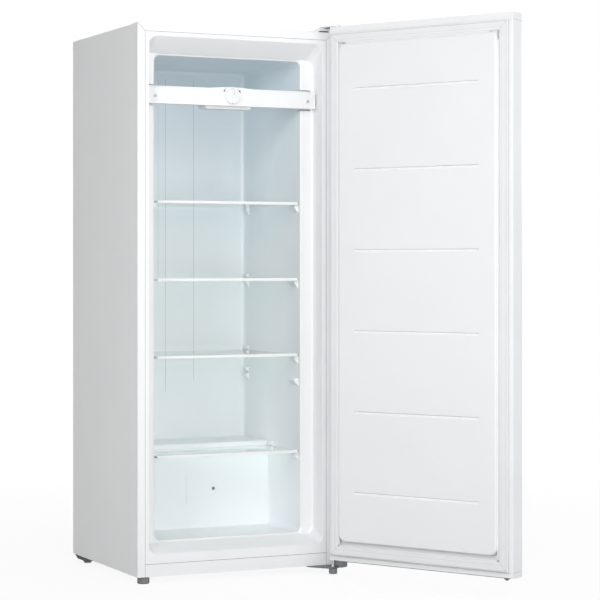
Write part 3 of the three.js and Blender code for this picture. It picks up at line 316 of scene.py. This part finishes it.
def make_finishes():
    """Every finish as a material, by its name."""
    made = {}
    for name, (pale, dark, *texture) in SKINS.items():
        shader = Shader(name)
        skin(shader, linear(*pale), linear(*dark), *texture)
        shader.set(**SKIN_SOCKETS.get(name, {}))
        made[name] = shader.material
    for name, tone in LINES.items():
        shader = Shader(name)
        pale = linear(*tone)
        dark = tuple(LINE_DARK_SHARE * c for c in pale)
        skin(shader, pale, dark, *LINE_TEXTURE)
        made[name] = shader.material
    for maker in (liner_plastic, zinc_steel, dull_zinc, copper, foam, shelf_glass):
        shader = Shader(maker.__name__)
        maker(shader)
        made[maker.__name__] = shader.material
    return made


# ---- carried CAD nodes ---------------------------------------------------------------

SIDES = ("left", "right")
SHELVES = range(1, 5)
LEVELS = range(1, 6)

NODE_FINISHES = {
    "painted_steel": ["outer_wrapper", "door_skin"],
    "liner_plastic": ["cabinet_liner"],
    "panel_plastic": ["door_liner"],
    "gasket_vinyl": ["door_gasket"],
    "white_plastic": [
        "kick_plate",
        "top_hinge_cover",
        "hinge_hole_plug",
        "control_bar",
        "thermostat_knob",
        "thermostat_housing",
        "door_top_cap",
        "door_bottom_cap",
        *(f"shelf_trim_{i}" for i in SHELVES),
        *(f"shelf_clip_{side}_{i}" for side in SIDES for i in LEVELS),
    ],
    "grey_plastic": [
        "probe_hole_plug",
        "lower_hinge_spacer",
        "door_stop",
        "door_hole_plug",
        *(f"foot_pad_{side}" for side in SIDES),
    ],
    "black_plastic": [
        "compressor_relay_cover",
        *(f"rear_roller_{side}" for side in SIDES),
    ],
    "black_steel": ["compressor", *(f"roller_bracket_{side}" for side in SIDES)],
    "zinc_steel": [
        "back_panel",
        "base_pan",
        "bay_panel",
        "compressor_base",
        *(f"foot_stud_{side}" for side in SIDES),
        *(f"roller_axle_{side}" for side in SIDES),
        *(f"bar_screw_{side}" for side in SIDES),
    ],
    "dull_zinc": ["lower_hinge_bracket", "top_hinge_bracket"],
    "copper": ["suction_pipe", "discharge_pipe", "filter_drier"],
    "foam": ["cabinet_foam", "door_foam"],
    "shelf_glass": [f"shelf_glass_{i}" for i in SHELVES],
}

# The width of the rounds along each node's edges, in mm.
NODE_ROUNDS = {
    "control_bar": 0.8,
    "kick_plate": 0.5,
    "door_top_cap": 1.2,
    "door_bottom_cap": 1.2,
    "top_hinge_cover": 0.6,
    "hinge_hole_plug": 0.5,
    "thermostat_knob": 0.5,
    "thermostat_housing": 1.0,
    "door_stop": 0.8,
    "lower_hinge_bracket": 0.4,
    "lower_hinge_spacer": 0.5,
    "compressor_relay_cover": 1.2,
    "compressor_base": 0.5,
    **{f"shelf_trim_{i}": 0.6 for i in SHELVES},
}
ROUND_SEGMENTS = 2
ROUND_FROM_DEG = 40.0

# Edges sharper than this stay creased, and two drawn shells are smooth over more.
SMOOTH_DEG = 32.0
SMOOTH_NODES_DEG = {"compressor": 58.0, "filter_drier": 50.0}


def shade_smooth(obj, degrees=SMOOTH_DEG):
    """Smooth shading with creases at the edges sharper than the angle."""
    mesh = obj.data
    mesh.polygons.foreach_set("use_smooth", [True] * len(mesh.polygons))
    mesh.set_sharp_from_angle(angle=math.radians(degrees))


def round_edges(obj, width_mm):
    modifier = obj.modifiers.new("edge_round", "BEVEL")
    modifier.width = width_mm * MM
    modifier.segments = ROUND_SEGMENTS
    modifier.limit_method = "ANGLE"
    modifier.angle_limit = math.radians(ROUND_FROM_DEG)


def dress_nodes():
    """Give every CAD node its finish, its smoothing and its edge rounds."""
    for finish, members in NODE_FINISHES.items():
        for name in members:
            mesh = nodes[name].data
            mesh.materials.clear()
            mesh.materials.append(finishes[finish])
            shade_smooth(nodes[name], SMOOTH_NODES_DEG.get(name, SMOOTH_DEG))
    for name, width_mm in NODE_ROUNDS.items():
        round_edges(nodes[name], width_mm)


# ---- detail pieces -------------------------------------------------------------------
# Their sizes are in mm on the closed freezer, from the cabinet's lower left front
# corner, with x towards the hinge side, y towards the back and z up. A turned profile's
# points are (radius, distance along the axis).

X, Y, Z = 0, 1, 2

WIDTH = 550.0
HEIGHT = 1400.0
FLANGE = 20.5
KICK_TOP = 32.0
BACK_WALL = 424.0
PANEL_REAR = 492.7

CORNER = Vector(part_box("outer_wrapper")[0])
PIVOT = Vector((543.0, -34.0, 0.0))
DOOR_OPEN_DEG = 118.5


def as_photographed():
    """The turn from the closed door to the open door of the photograph."""
    swing = Matrix.Rotation(math.radians(DOOR_OPEN_DEG), 4, "Z")
    return Matrix.Translation(PIVOT) @ swing @ Matrix.Translation(-PIVOT)


def polar(radius, degrees):
    angle = math.radians(degrees)
    return radius * math.cos(angle), radius * math.sin(angle)


def across(axis, along, u, v, origin=(0.0, 0.0, 0.0)):
    """A point by its place along an axis and in the two axes that follow it in turn."""
    point = list(origin)
    point[axis] += along
    point[(axis + 1) % 3] += u
    point[(axis + 2) % 3] += v
    return point


def circle(radius, steps):
    """Points (u, v) round a circle."""
    angles = [2 * math.pi * i / steps for i in range(steps)]
    return [(radius * math.cos(angle), radius * math.sin(angle)) for angle in angles]


def stroke(start, end, width):
    """The four corners of a straight stroke in a plane, with square ends."""
    first, last = Vector(start), Vector(end)
    way = (last - first).normalized() * (width / 2)
    side = Vector((-way.y, way.x))
    corners = [first - way - side, last + way - side]
    corners += [last + way + side, first - way + side]
    return [tuple(corner) for corner in corners]


def skim(face, over=0.06, under=0.2):
    """The two levels of a thin mark on a face: just over it and a little under it."""
    return face - over, face + under


# A screw's pan head, in shares of its radius and height.
PAN_HEAD = ((1.0, 0.0), (1.0, 0.35), (0.75, 0.85), (0.3, 1.0))

# A rod whose way points up more than this is taken as upright.
UPRIGHT = 0.9


class Piece:
    """One detail object, gathered from simple solids."""

    def __init__(self, name, finish, body):
        self.name = name
        self.finish = finish
        self.body = body
        self.mesh = bmesh.new()

    def rings(self, rings, closed=False):
        """A skin through rings of equal point counts, with ends unless it is closed."""
        count, total = len(rings[0]), len(rings)
        verts = [self.mesh.verts.new(point) for ring in rings for point in ring]
        faces = []
        for k in range(total if closed else total - 1):
            low, high = k * count, ((k + 1) % total) * count
            for i in range(count):
                j = (i + 1) % count
                faces.append((low + i, low + j, high + j, high + i))
        if not closed:
            faces.append(range(count)[::-1])
            faces.append(range((total - 1) * count, total * count))
        for face in faces:
            self.mesh.faces.new([verts[i] for i in face])

    def prism(self, outline, axis, levels):
        """A prism between two levels of an axis; see across() for the outline."""
        rings = []
        for level in levels:
            rings.append([across(axis, level, u, v) for u, v in outline])
        self.rings(rings)

    def box(self, x, y, z):
        """A box from three pairs of limits."""
        plan = [(x[0], y[0]), (x[1], y[0]), (x[1], y[1]), (x[0], y[1])]
        self.prism(plan, Z, z)

    def strip(self, start, end, width, levels):
        """A strip between two points (x, z), whose levels lie along y."""
        corners = stroke(start, end, width)
        self.prism([(z, x) for x, z in corners], Y, levels)

    def border(self, left, right, low, high, width, levels):
        """Four strips round a rectangle in x and z, whose levels lie along y."""
        corners = [(left, low), (right, low), (right, high), (left, high)]
        for start, end in zip(corners, corners[1:] + corners[:1]):
            self.strip(start, end, width, levels)

    def turned(self, place, axis, profile, steps, closed=False):
        """A turned solid round an axis through a place."""
        rings = []
        for radius, along in profile:
            points = circle(radius, steps)
            rings.append([across(axis, along, u, v, place) for u, v in points])
        self.rings(rings, closed)

    def screw_head(self, place, axis, radius, height):
        """A low pan head; its height is signed along the axis."""
        profile = [(radius * wide, height * tall) for wide, tall in PAN_HEAD]
        self.turned(place, axis, profile, steps=18)

    def tube(self, path, radius, steps=8, closed=False):
        """A round rod along a path of points."""
        path = [Vector(point) for point in path]
        rings = []
        count = len(path)
        for k, point in enumerate(path):
            before = path[k - 1] if closed or k > 0 else point
            after = path[(k + 1) % count] if closed or k + 1 < count else point
            way = (after - before).normalized()
            if abs(way.z) > UPRIGHT:
                aside = way.orthogonal()
            else:
                aside = way.cross(Vector((0, 0, 1)))
            aside.normalize()
            up = aside.cross(way)
            ring = []
            for i in range(steps):
                angle = 2 * math.pi * i / steps
                arm = aside * math.cos(angle) + up * math.sin(angle)
                ring.append(point + radius * arm)
            rings.append(ring)
        self.rings(rings, closed)

    def done(self):
        """Put the piece into the frame, on its body."""
        mesh = bpy.data.meshes.new(self.name)
        bmesh.ops.recalc_face_normals(self.mesh, faces=self.mesh.faces[:])
        if self.body == "door":
            self.mesh.transform(as_photographed())
        self.mesh.transform(Matrix.Translation(CORNER) @ Matrix.Scale(MM, 4))
        self.mesh.to_mesh(mesh)
        self.mesh.free()
        obj = bpy.data.objects.new(self.name, mesh)
        bpy.context.scene.collection.objects.link(obj)
        mesh.materials.append(finishes[self.finish])
        shade_smooth(obj)
        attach(obj, self.body)


# ---- details of the cabinet's front and of the cavity --------------------------------

SEAM_CORNER = 0.8
SEAM_FOOT = 0.5
SIDE_SEAM, TOP_SEAM, KICK_SEAM = 0.7, 0.8, 0.9


def add_front_seams():
    """The joints of the cabinet's front, which show as fine lines."""
    seams = Piece("front_seams", "seam_and_shade_line", "cabinet")
    right, top = WIDTH - FLANGE, HEIGHT - FLANGE
    levels = skim(0.0)
    for outer, inner in ((SEAM_CORNER, FLANGE), (WIDTH - SEAM_CORNER, right)):
        seams.strip((outer, HEIGHT - SEAM_CORNER), (inner, top), SIDE_SEAM, levels)
        seams.strip((inner, SEAM_FOOT), (inner, top), SIDE_SEAM, levels)
    seams.strip((FLANGE, top), (right, top), TOP_SEAM, levels)
    seams.strip((FLANGE, KICK_TOP), (right, KICK_TOP), KICK_SEAM, levels)
    seams.done()


# The knob's axis (x, z) and where the faces of the knob and the bar lie along y.
KNOB = (273.0, 1225.0)
KNOB_FACE = 14.7
BAR_FACE = 31.0

# The arrows run along a ring round the knob, by degrees from the x axis.
ARROW_RING = 26.0
ARROW_TAIL_DEG, ARROW_NECK_DEG, ARROW_TIP_DEG = 128, 142, 158
ARROW_STROKES, ARROW_STROKE_DEG = 5, 3.0
ARROW_WIDTH, ARROW_HEAD_HALF = 0.8, 3.2
POINTER_LOW, POINTER_HIGH, POINTER_WIDTH = 3, 18, 0.7


def add_turn_arrows():
    """An arrow each way, printed on the bar beside the knob."""
    arrows = Piece("turn_arrows", "print_and_hole_shade", "cabinet")
    shapes = []
    for i in range(ARROW_STROKES):
        start = ARROW_TAIL_DEG + ARROW_STROKE_DEG * i
        ends = (polar(ARROW_RING, start), polar(ARROW_RING, start + ARROW_STROKE_DEG))
        shapes.append(stroke(*ends, ARROW_WIDTH))
    outer, inner = ARROW_RING + ARROW_HEAD_HALF, ARROW_RING - ARROW_HEAD_HALF
    tip = polar(ARROW_RING, ARROW_TIP_DEG)
    shapes.append([polar(outer, ARROW_NECK_DEG), tip, polar(inner, ARROW_NECK_DEG)])
    x, z = KNOB
    for way in (1, -1):
        for shape in shapes:
            outline = [(z + v, x + way * u) for u, v in shape]
            arrows.prism(outline, Y, skim(BAR_FACE))
    arrows.done()


def add_knob_pointer():
    pointer = Piece("knob_pointer", "print_and_hole_shade", "knob")
    x, z = KNOB
    start, end = (x, z + POINTER_LOW), (x, z + POINTER_HIGH)
    pointer.strip(start, end, POINTER_WIDTH, skim(KNOB_FACE))
    pointer.done()


BAR_SCREWS = ((60.0, 1219.5), (490.0, 1219.5))
SCREW_HEAD = 1.9
SCREW_FACE = BAR_FACE - SCREW_HEAD
SEAT = [(4.5, 0.3), (4.5, -0.5), (4.9, -0.8), (5.9, -0.8), (6.4, -0.4), (6.4, 0.3)]
CROSS_ARM, CROSS_WIDTH = 2.1, 0.8
CROSS_TURNS_DEG = (40, 130)


def add_bar_screw_details():
    """Each bar screw's raised seat, and a dark cross as painted shade of its recess."""
    seats = Piece("bar_screw_seats", "white_plastic", "cabinet")
    crosses = Piece("bar_screw_crosses", "seam_and_shade_line", "cabinet")
    levels = skim(SCREW_FACE, over=0.1)
    for x, z in BAR_SCREWS:
        seats.turned((x, BAR_FACE, z), Y, SEAT, steps=28, closed=True)
        for turn in CROSS_TURNS_DEG:
            u, v = polar(CROSS_ARM, turn)
            crosses.strip((x - u, z - v), (x + u, z + v), CROSS_WIDTH, levels)
    seats.done()
    crosses.done()


# The back wall's lines: x, lower end and width. They share their upper end.
WALL_LINES = ((243.7, 440, 0.9), (327.7, 470, 0.9), (222.0, 760, 0.5))
WALL_LINES_TOP = 1300
# Two points (y, z) of the face of the step over the compressor, and the line down it.
STEP_LOW, STEP_HIGH = (254.0, 82.5), (266.0, 310.0)
STEP_LINE_X, STEP_LINE_HALF = 238.2, 0.25
STEP_LINE_LOW, STEP_LINE_HIGH = 150.0, 220.0
PROBE_HOLE = (317.0, 258.5, 186.0)
PROBE_HOLE_RADIUS = 3.4
# How far the marks on the liner stand out of it and reach into it.
LINER_OVER, WALL_UNDER, STEP_UNDER = 0.15, 0.5, 0.4


def add_liner_lines():
    """Darker strips that paint the shade along fine lines moulded in the back wall and
    in the step over the compressor.
    """
    lines = Piece("liner_lines", "liner_shade_line", "cabinet")
    levels = skim(BACK_WALL, LINER_OVER, WALL_UNDER)
    for x, low, width in WALL_LINES:
        lines.strip((x, low), (x, WALL_LINES_TOP), width, levels)
    slope = (STEP_HIGH[0] - STEP_LOW[0]) / (STEP_HIGH[1] - STEP_LOW[1])
    low, high = STEP_LINE_LOW, STEP_LINE_HIGH
    front, back = -LINER_OVER, STEP_UNDER
    outline = []
    for z, out in ((low, front), (high, front), (high, back), (low, back)):
        outline.append((STEP_LOW[0] + slope * (z - STEP_LOW[1]) + out, z))
    sides = (STEP_LINE_X - STEP_LINE_HALF, STEP_LINE_X + STEP_LINE_HALF)
    lines.prism(outline, X, sides)
    lines.done()


def add_probe_hole():
    """A dark disc that paints the shade of the blind hole in the middle of the step's
    plug.
    """
    hole = Piece("probe_hole", "print_and_hole_shade", "cabinet")
    profile = [(PROBE_HOLE_RADIUS, -LINER_OVER), (PROBE_HOLE_RADIUS, STEP_UNDER)]
    hole.turned(PROBE_HOLE, Y, profile, steps=20)
    hole.done()


# ---- details of the door -------------------------------------------------------------

GROOVE_COUNT, GROOVE_LOW, GROOVE_PITCH = 6, 199.5, 208.6
GROOVE_ENDS = (88.1, 461.9)
# Points (y, z from the groove's middle) of its long lower slope and of its upper lip.
GROOVE_SLOPE = [(-1.1, -2.6), (3.8, -4.2), (3.7, -3.9), (-0.6, 1.6), (-1.1, 1.6)]
GROOVE_LIP = [(-1.1, 1.6), (-0.6, 1.6), (3.9, 3.7), (3.9, 4.2), (-1.1, 2.6)]


def add_door_grooves():
    """The lower slope of each door groove, whiter as a painted highlight, and the lip
    over it, darker as painted shade.
    """
    slopes = Piece("door_groove_slopes", "groove_painted_highlight", "door")
    lips = Piece("door_groove_lips", "groove_shade", "door")
    for i in range(GROOVE_COUNT):
        middle = GROOVE_LOW + i * GROOVE_PITCH
        for piece, profile in ((slopes, GROOVE_SLOPE), (lips, GROOVE_LIP)):
            piece.prism([(y, middle + z) for y, z in profile], X, GROOVE_ENDS)
    slopes.done()
    lips.done()


GASKET_LEFT, GASKET_LOW, GASKET_HIGH = 9.0, 33.5, 1390.5
GASKET_FACE = -0.3
# Dark lines that paint the shade of the gasket's grooves, by their reach from its outer
# edge and their width.
GASKET_GROOVES = ((3.6, 0.8), (16.5, 0.3))
WELD_START, WELD_END, WELD_WIDTH = 2, 22, 0.5


def add_gasket_lines():
    """Dark lines as painted shade of two grooves along the gasket's face, and the welds
    at its four corners.
    """
    lines = Piece("gasket_lines", "gasket_joint_and_groove_shade", "door")
    levels = skim(GASKET_FACE, over=0.2, under=0.05)
    left, right = GASKET_LEFT, WIDTH - GASKET_LEFT
    low, high = GASKET_LOW, GASKET_HIGH
    for reach, width in GASKET_GROOVES:
        limits = (left + reach, right - reach, low + reach, high - reach)
        lines.border(*limits, width, levels)
    for x, way in ((left, 1), (right, -1)):
        for z, up in ((low, 1), (high, -1)):
            start = (x + WELD_START * way, z + WELD_START * up)
            end = (x + WELD_END * way, z + WELD_END * up)
            lines.strip(start, end, WELD_WIDTH, levels)
    lines.done()


FLAP_LEVELS = (-3.0, -1.8)
FLAP_LEFT, FLAP_LOW, FLAP_HIGH, FLAP_WIDTH = 36.1, 60.6, 1363.9, 4.2
# The flap's filled corner at the upper left: its outer point and the round inside it,
# which runs from its left to its top.
FLAP_CORNER = (34.5, 1365.5)
FLAP_ROUND, FLAP_ROUND_RADIUS = (58.5, 1342.0), 20.4
FLAP_ROUND_DEGS = range(180, 89, -15)


def add_gasket_flap():
    """The gasket's thin inner flap, which covers the gap beside the door panel."""
    flap = Piece("gasket_inner_flap", "gasket_vinyl", "door")
    right = WIDTH - FLAP_LEFT
    flap.border(FLAP_LEFT, right, FLAP_LOW, FLAP_HIGH, FLAP_WIDTH, FLAP_LEVELS)
    (left, high), (x, z) = FLAP_CORNER, FLAP_ROUND
    corner = [(left, high), (left, z)]
    for degrees in FLAP_ROUND_DEGS:
        u, v = polar(FLAP_ROUND_RADIUS, degrees)
        corner.append((x + u, z + v))
    corner.append((x, high))
    for outline in (corner, [(WIDTH - x, z) for x, z in corner]):
        flap.prism([(z, x) for x, z in outline], Y, FLAP_LEVELS)
    flap.done()


CAP_JOINTS_Z, CAP_JOINT_HALF = (31.65, 1391.35), 0.4
CAP_JOINT_X, CAP_JOINT_Y = (-0.06, 0.3), (-56.0, -13.5)
LOWER_STRIP_X, LOWER_STRIP_Y, LOWER_STRIP_Z = (6, 538), (-16, -12.9), (17.3, 18.7)


def add_door_lines():
    """The joints of the door's end caps at its free edge and a dark strip along its
    lower edge.
    """
    joints = Piece("door_cap_joints", "gasket_joint_and_groove_shade", "door")
    for z in CAP_JOINTS_Z:
        joints.box(CAP_JOINT_X, CAP_JOINT_Y, (z - CAP_JOINT_HALF, z + CAP_JOINT_HALF))
    joints.done()
    lip = Piece("door_lower_dark_strip", "seam_and_shade_line", "door")
    lip.box(LOWER_STRIP_X, LOWER_STRIP_Y, LOWER_STRIP_Z)
    lip.done()


# ---- details of the foot, the hinge and the back -------------------------------------

RIGHT_FOOT = (530.5, -38.0, 0.0)
THREAD_TURNS, THREAD_PITCH = 4, 1.4
THREAD_ROOT, THREAD_CREST = 3.95, 4.2
THREAD_FOOT, THREAD_TIP = (3.6, -0.2), (3.0, 5.6)
THREAD_END = 5.5


def add_foot_thread():
    """The thread of the right foot's stud, which stands out of the hinge plate."""
    thread = Piece("foot_thread_right", "zinc_steel", "foot_right_stud")
    profile = [THREAD_FOOT]
    for turn in range(THREAD_TURNS):
        low = turn * THREAD_PITCH
        profile += [(THREAD_ROOT, low), (THREAD_CREST, low + THREAD_PITCH / 2)]
    profile += [(THREAD_ROOT, THREAD_END), THREAD_TIP]
    thread.turned(RIGHT_FOOT, Z, profile, steps=24)
    thread.done()


BACK_SCREW_COLUMNS = (18.0, 146.5, 275.0, 403.5, 532.0)
BACK_SCREW_ROWS = (290.0, 560.0, 830.0, 1100.0, 1380.0)
BACK_SCREW_RADIUS, BACK_SCREW_HEIGHT = 4.0, 1.2
BEAD_HEIGHTS = ((330.0, 800.0), (860.0, 1330.0))
BEAD_INSET, BEAD_CORNER, BEAD_RADIUS = 60.0, 30.0, 1.1


def rounded_loop(left, right, low, high, radius, y, steps=6):
    """Points round a rectangle with rounded corners, in a plane across y."""
    points = []
    centres = [
        (right - radius, low + radius, -90),
        (right - radius, high - radius, 0),
        (left + radius, high - radius, 90),
        (left + radius, low + radius, 180),
    ]
    for x, z, start in centres:
        for i in range(steps + 1):
            u, v = polar(radius, start + 90 * i / steps)
            points.append((x + u, y, z + v))
    return points


def add_back_details():
    """The screws along the back panel's edges and its two stamped beads."""
    screws = Piece("back_panel_screws", "zinc_steel", "cabinet")
    columns, rows = BACK_SCREW_COLUMNS, BACK_SCREW_ROWS
    for x in columns:
        for z in rows:
            if x in (columns[0], columns[-1]) or z in (rows[0], rows[-1]):
                place = (x, PANEL_REAR, z)
                screws.screw_head(place, Y, BACK_SCREW_RADIUS, BACK_SCREW_HEIGHT)
    screws.done()
    beads = Piece("back_panel_beads", "zinc_steel", "cabinet")
    left, right = BEAD_INSET, WIDTH - BEAD_INSET
    for low, high in BEAD_HEIGHTS:
        path = rounded_loop(left, right, low, high, BEAD_CORNER, PANEL_REAR)
        beads.tube(path, BEAD_RADIUS, closed=True)
    beads.done()


COMPRESSOR = (372.0, 404.0)
COMPRESSOR_FEET = ((-80, -54), (-80, 54), (80, -54), (80, 54))
GROMMET = [(8, 0), (8, 2), (6.5, 3), (6.5, 4), (8, 5), (7.6, 7), (5, 7.4)]
WASHER = [(6.5, 0), (6.5, 1.0), (4.6, 1.0)]
BOLT_HEAD = [(4.6, 0), (4.6, 3.0), (4.0, 3.5)]
GROMMET_Z, WASHER_Z, BOLT_HEAD_Z = 5.3, 12.7, 13.7
WELD_BEAD_Z, WELD_BEAD_RADIUS, WELD_BEAD_HALF, WELD_RIPPLE = 88.0, 79.2, 1.6, 0.25
WELD_BEAD_STEPS, WELD_BEAD_STEP_DEG = 72, 5
# The filling tube runs outwards at this angle: points by reach from the axis and z.
FILLING_TUBE_DEG, FILLING_TUBE_RADIUS = 152, 3.0
FILLING_TUBE = ((70, 128), (84, 128), (92, 131), (97, 138), (99, 150), (99, 172))
# The relay cover's wire clip in plan.
CLIP = ((300, 371), (280, 371.5), (260.6, 374), (260.6, 434), (280, 436.5), (300, 437))
CLIP_Z, CLIP_RADIUS = 88, 1.1


def add_compressor_feet():
    """A rubber grommet, a washer and a bolt at each foot of the compressor."""
    grommets = Piece("compressor_grommets", "black_plastic", "cabinet")
    bolts = Piece("compressor_bolts", "zinc_steel", "cabinet")
    for dx, dy in COMPRESSOR_FEET:
        x, y = COMPRESSOR[0] + dx, COMPRESSOR[1] + dy
        grommets.turned((x, y, GROMMET_Z), Z, GROMMET, steps=20)
        bolts.turned((x, y, WASHER_Z), Z, WASHER, steps=20)
        bolts.turned((x, y, BOLT_HEAD_Z), Z, BOLT_HEAD, steps=6)
    grommets.done()
    bolts.done()


def add_compressor_details():
    """The compressor's weld, its filling tube and the clip of its relay cover."""
    x, y = COMPRESSOR
    weld = Piece("compressor_weld", "black_steel", "cabinet")
    ring = []
    for i in range(WELD_BEAD_STEPS):
        ripple = WELD_RIPPLE if i % 2 else 0
        u, v = polar(WELD_BEAD_RADIUS + ripple, WELD_BEAD_STEP_DEG * i)
        ring.append((x + u, y + v, WELD_BEAD_Z))
    weld.tube(ring, WELD_BEAD_HALF, steps=6, closed=True)
    weld.done()
    tube = Piece("compressor_filling_tube", "copper", "cabinet")
    out, aside = polar(1.0, FILLING_TUBE_DEG)
    path = [(x + out * reach, y + aside * reach, z) for reach, z in FILLING_TUBE]
    tube.tube(path, FILLING_TUBE_RADIUS, steps=12)
    tube.done()
    clip = Piece("relay_cover_clip", "zinc_steel", "cabinet")
    clip.tube([(*point, CLIP_Z) for point in CLIP], CLIP_RADIUS)
    clip.done()


HINGE_SCREWS = ((490.0, 46.0), (516.0, 46.0), (540.0, 30.0))
HINGE_PLATE_Z, HINGE_SCREW_RADIUS, HINGE_SCREW_HEIGHT = -3.3, 5.0, -2.6


def add_hinge_details():
    """The fixing screws under the lower hinge plate."""
    screws = Piece("lower_hinge_screws", "zinc_steel", "cabinet")
    for x, y in HINGE_SCREWS:
        place = (x, y, HINGE_PLATE_Z)
        screws.screw_head(place, Z, HINGE_SCREW_RADIUS, HINGE_SCREW_HEIGHT)
    screws.done()


def make_details():
    add_front_seams()
    add_turn_arrows()
    add_knob_pointer()
    add_bar_screw_details()
    add_liner_lines()
    add_probe_hole()
    add_door_grooves()
    add_gasket_flap()
    add_gasket_lines()
    add_door_lines()
    add_foot_thread()
    add_back_details()
    add_compressor_feet()
    add_compressor_details()
    add_hinge_details()


# ---- stage ---------------------------------------------------------------------------

WHITE = (1, 1, 1, 1)
WORLD_LEVEL = 0.15
BACKDROP_LEVEL = 1.0

FLOOR_HALF = 60.0
FLOOR_DRIFT_SCALE = 2.0
FLOOR_ROUGHNESS = 0.9
# The floor's tones for the light that it throws back, and the one that the camera sees.
FLOOR_TONES = ((0.55,) * 3, (0.57,) * 3)
FLOOR_TONE_SEEN = (0.95,) * 3
# The backdrop's share in what the camera sees of the floor near the object, and the
# distances between which it grows to one.
FLOOR_NEAR_SHARE = 0.9
FLOOR_FADE_M = (0.9, 2.6)

LAMPS = {
    # name: (place, what it aims at, size, watts)
    "front_top": ((0.0, -3.6, 3.8), (0, 0, 1.0), (3.0, 2.0), 22),
    "front_right": ((1.8, -3.9, 2.2), (0, 0, 0.9), (1.6, 1.6), 18),
    "front_left": ((-3.4, -2.6, 1.8), (0, -0.1, 0.9), (1.4, 1.8), 56),
    "front_low": ((-0.2, -4.0, 0.5), (0, 0, 0.5), (1.6, 0.8), 19),
    "door_edge": ((3.0, -1.7, 1.0), (0.39, -0.5, 0.8), (0.6, 1.8), 14),
    "side_graze": ((-0.8, -2.0, 1.3), (-0.5, 0.0, 0.9), (0.4, 1.4), 14),
    "side_near": ((-1.0, 0.0, 0.85), (-0.45, 0.05, 0.85), (0.2, 1.6), 0.25),
    "top": ((0.0, 0.8, 4.4), (0, 0, 1.4), (2.0, 2.0), 18),
    "rear": ((1.2, 4.2, 2.6), (0, 0.3, 0.8), (2.0, 2.0), 42),
    "rear_right": ((3.6, 1.0, 2.0), (0.3, -0.2, 0.8), (2.0, 2.0), 40),
}


def seen_directly(tree):
    """One for what the camera sees, also reflected or through glass, and else zero."""
    path = tree.nodes.new("ShaderNodeLightPath")
    total = path.outputs["Is Camera Ray"]
    for name in ("Is Glossy Ray", "Is Transmission Ray"):
        node = tree.nodes.new("ShaderNodeMath")
        node.operation = "MAXIMUM"
        tree.links.new(total, node.inputs[0])
        tree.links.new(path.outputs[name], node.inputs[1])
        total = node.outputs[0]
    return total


def make_world():
    """A white backdrop that lights the object far less than it shines."""
    world = bpy.data.worlds.new("studio")
    bpy.context.scene.world = world
    world.use_nodes = True
    tree = world.node_tree
    background = tree.nodes["Background"]
    background.inputs["Color"].default_value = WHITE
    level = tree.nodes.new("ShaderNodeMapRange")
    level.inputs["To Min"].default_value = WORLD_LEVEL
    level.inputs["To Max"].default_value = BACKDROP_LEVEL
    tree.links.new(seen_directly(tree), level.inputs["Value"])
    tree.links.new(level.outputs["Result"], background.inputs["Strength"])


def make_floor():
    """A white floor, which shows the shadow close by and fades to the backdrop."""
    mesh = bpy.data.meshes.new("floor")
    half = FLOOR_HALF
    corners = [(-half, -half, 0), (half, -half, 0), (half, half, 0), (-half, half, 0)]
    mesh.from_pydata(corners, [], [(0, 1, 2, 3)])
    floor = bpy.data.objects.new("floor", mesh)
    bpy.context.scene.collection.objects.link(floor)
    shader = Shader("floor")
    seen = seen_directly(shader.tree)
    bounced = shader.drift(FLOOR_DRIFT_SCALE, *FLOOR_TONES)
    shader.color(shader.mix(seen, bounced, FLOOR_TONE_SEEN))
    shader.set(Roughness=FLOOR_ROUGHNESS)
    glow = shader.add("ShaderNodeEmission")
    glow.inputs["Color"].default_value = WHITE
    away = shader.add("ShaderNodeVectorMath", operation="LENGTH")
    shader.link(shader.coords, away.inputs[0])
    fade = shader.ramp(away.outputs["Value"], FLOOR_NEAR_SHARE, 1.0, FLOOR_FADE_M)
    share = shader.add("ShaderNodeMath", operation="MULTIPLY")
    shader.link(seen, share.inputs[0])
    shader.link(fade, share.inputs[1])
    shader.blend(share.outputs[0], glow)
    mesh.materials.append(shader.material)


def make_lights():
    """Area lamps that the camera doesn't see."""
    for name, (place, aim, size, watts) in LAMPS.items():
        data = bpy.data.lights.new(name, "AREA")
        data.shape = "RECTANGLE"
        data.size, data.size_y = size
        data.energy = watts
        light = bpy.data.objects.new(name, data)
        light.location = place
        way = Vector(aim) - Vector(place)
        light.rotation_euler = way.to_track_quat("-Z", "Y").to_euler()
        light.visible_camera = False
        bpy.context.scene.collection.objects.link(light)


# ---- put together --------------------------------------------------------------------

scene = bpy.context.scene
scene.view_settings.view_transform = "Standard"
make_camera()
make_world()
make_floor()
make_lights()
finishes = make_finishes()
dress_nodes()
make_details()
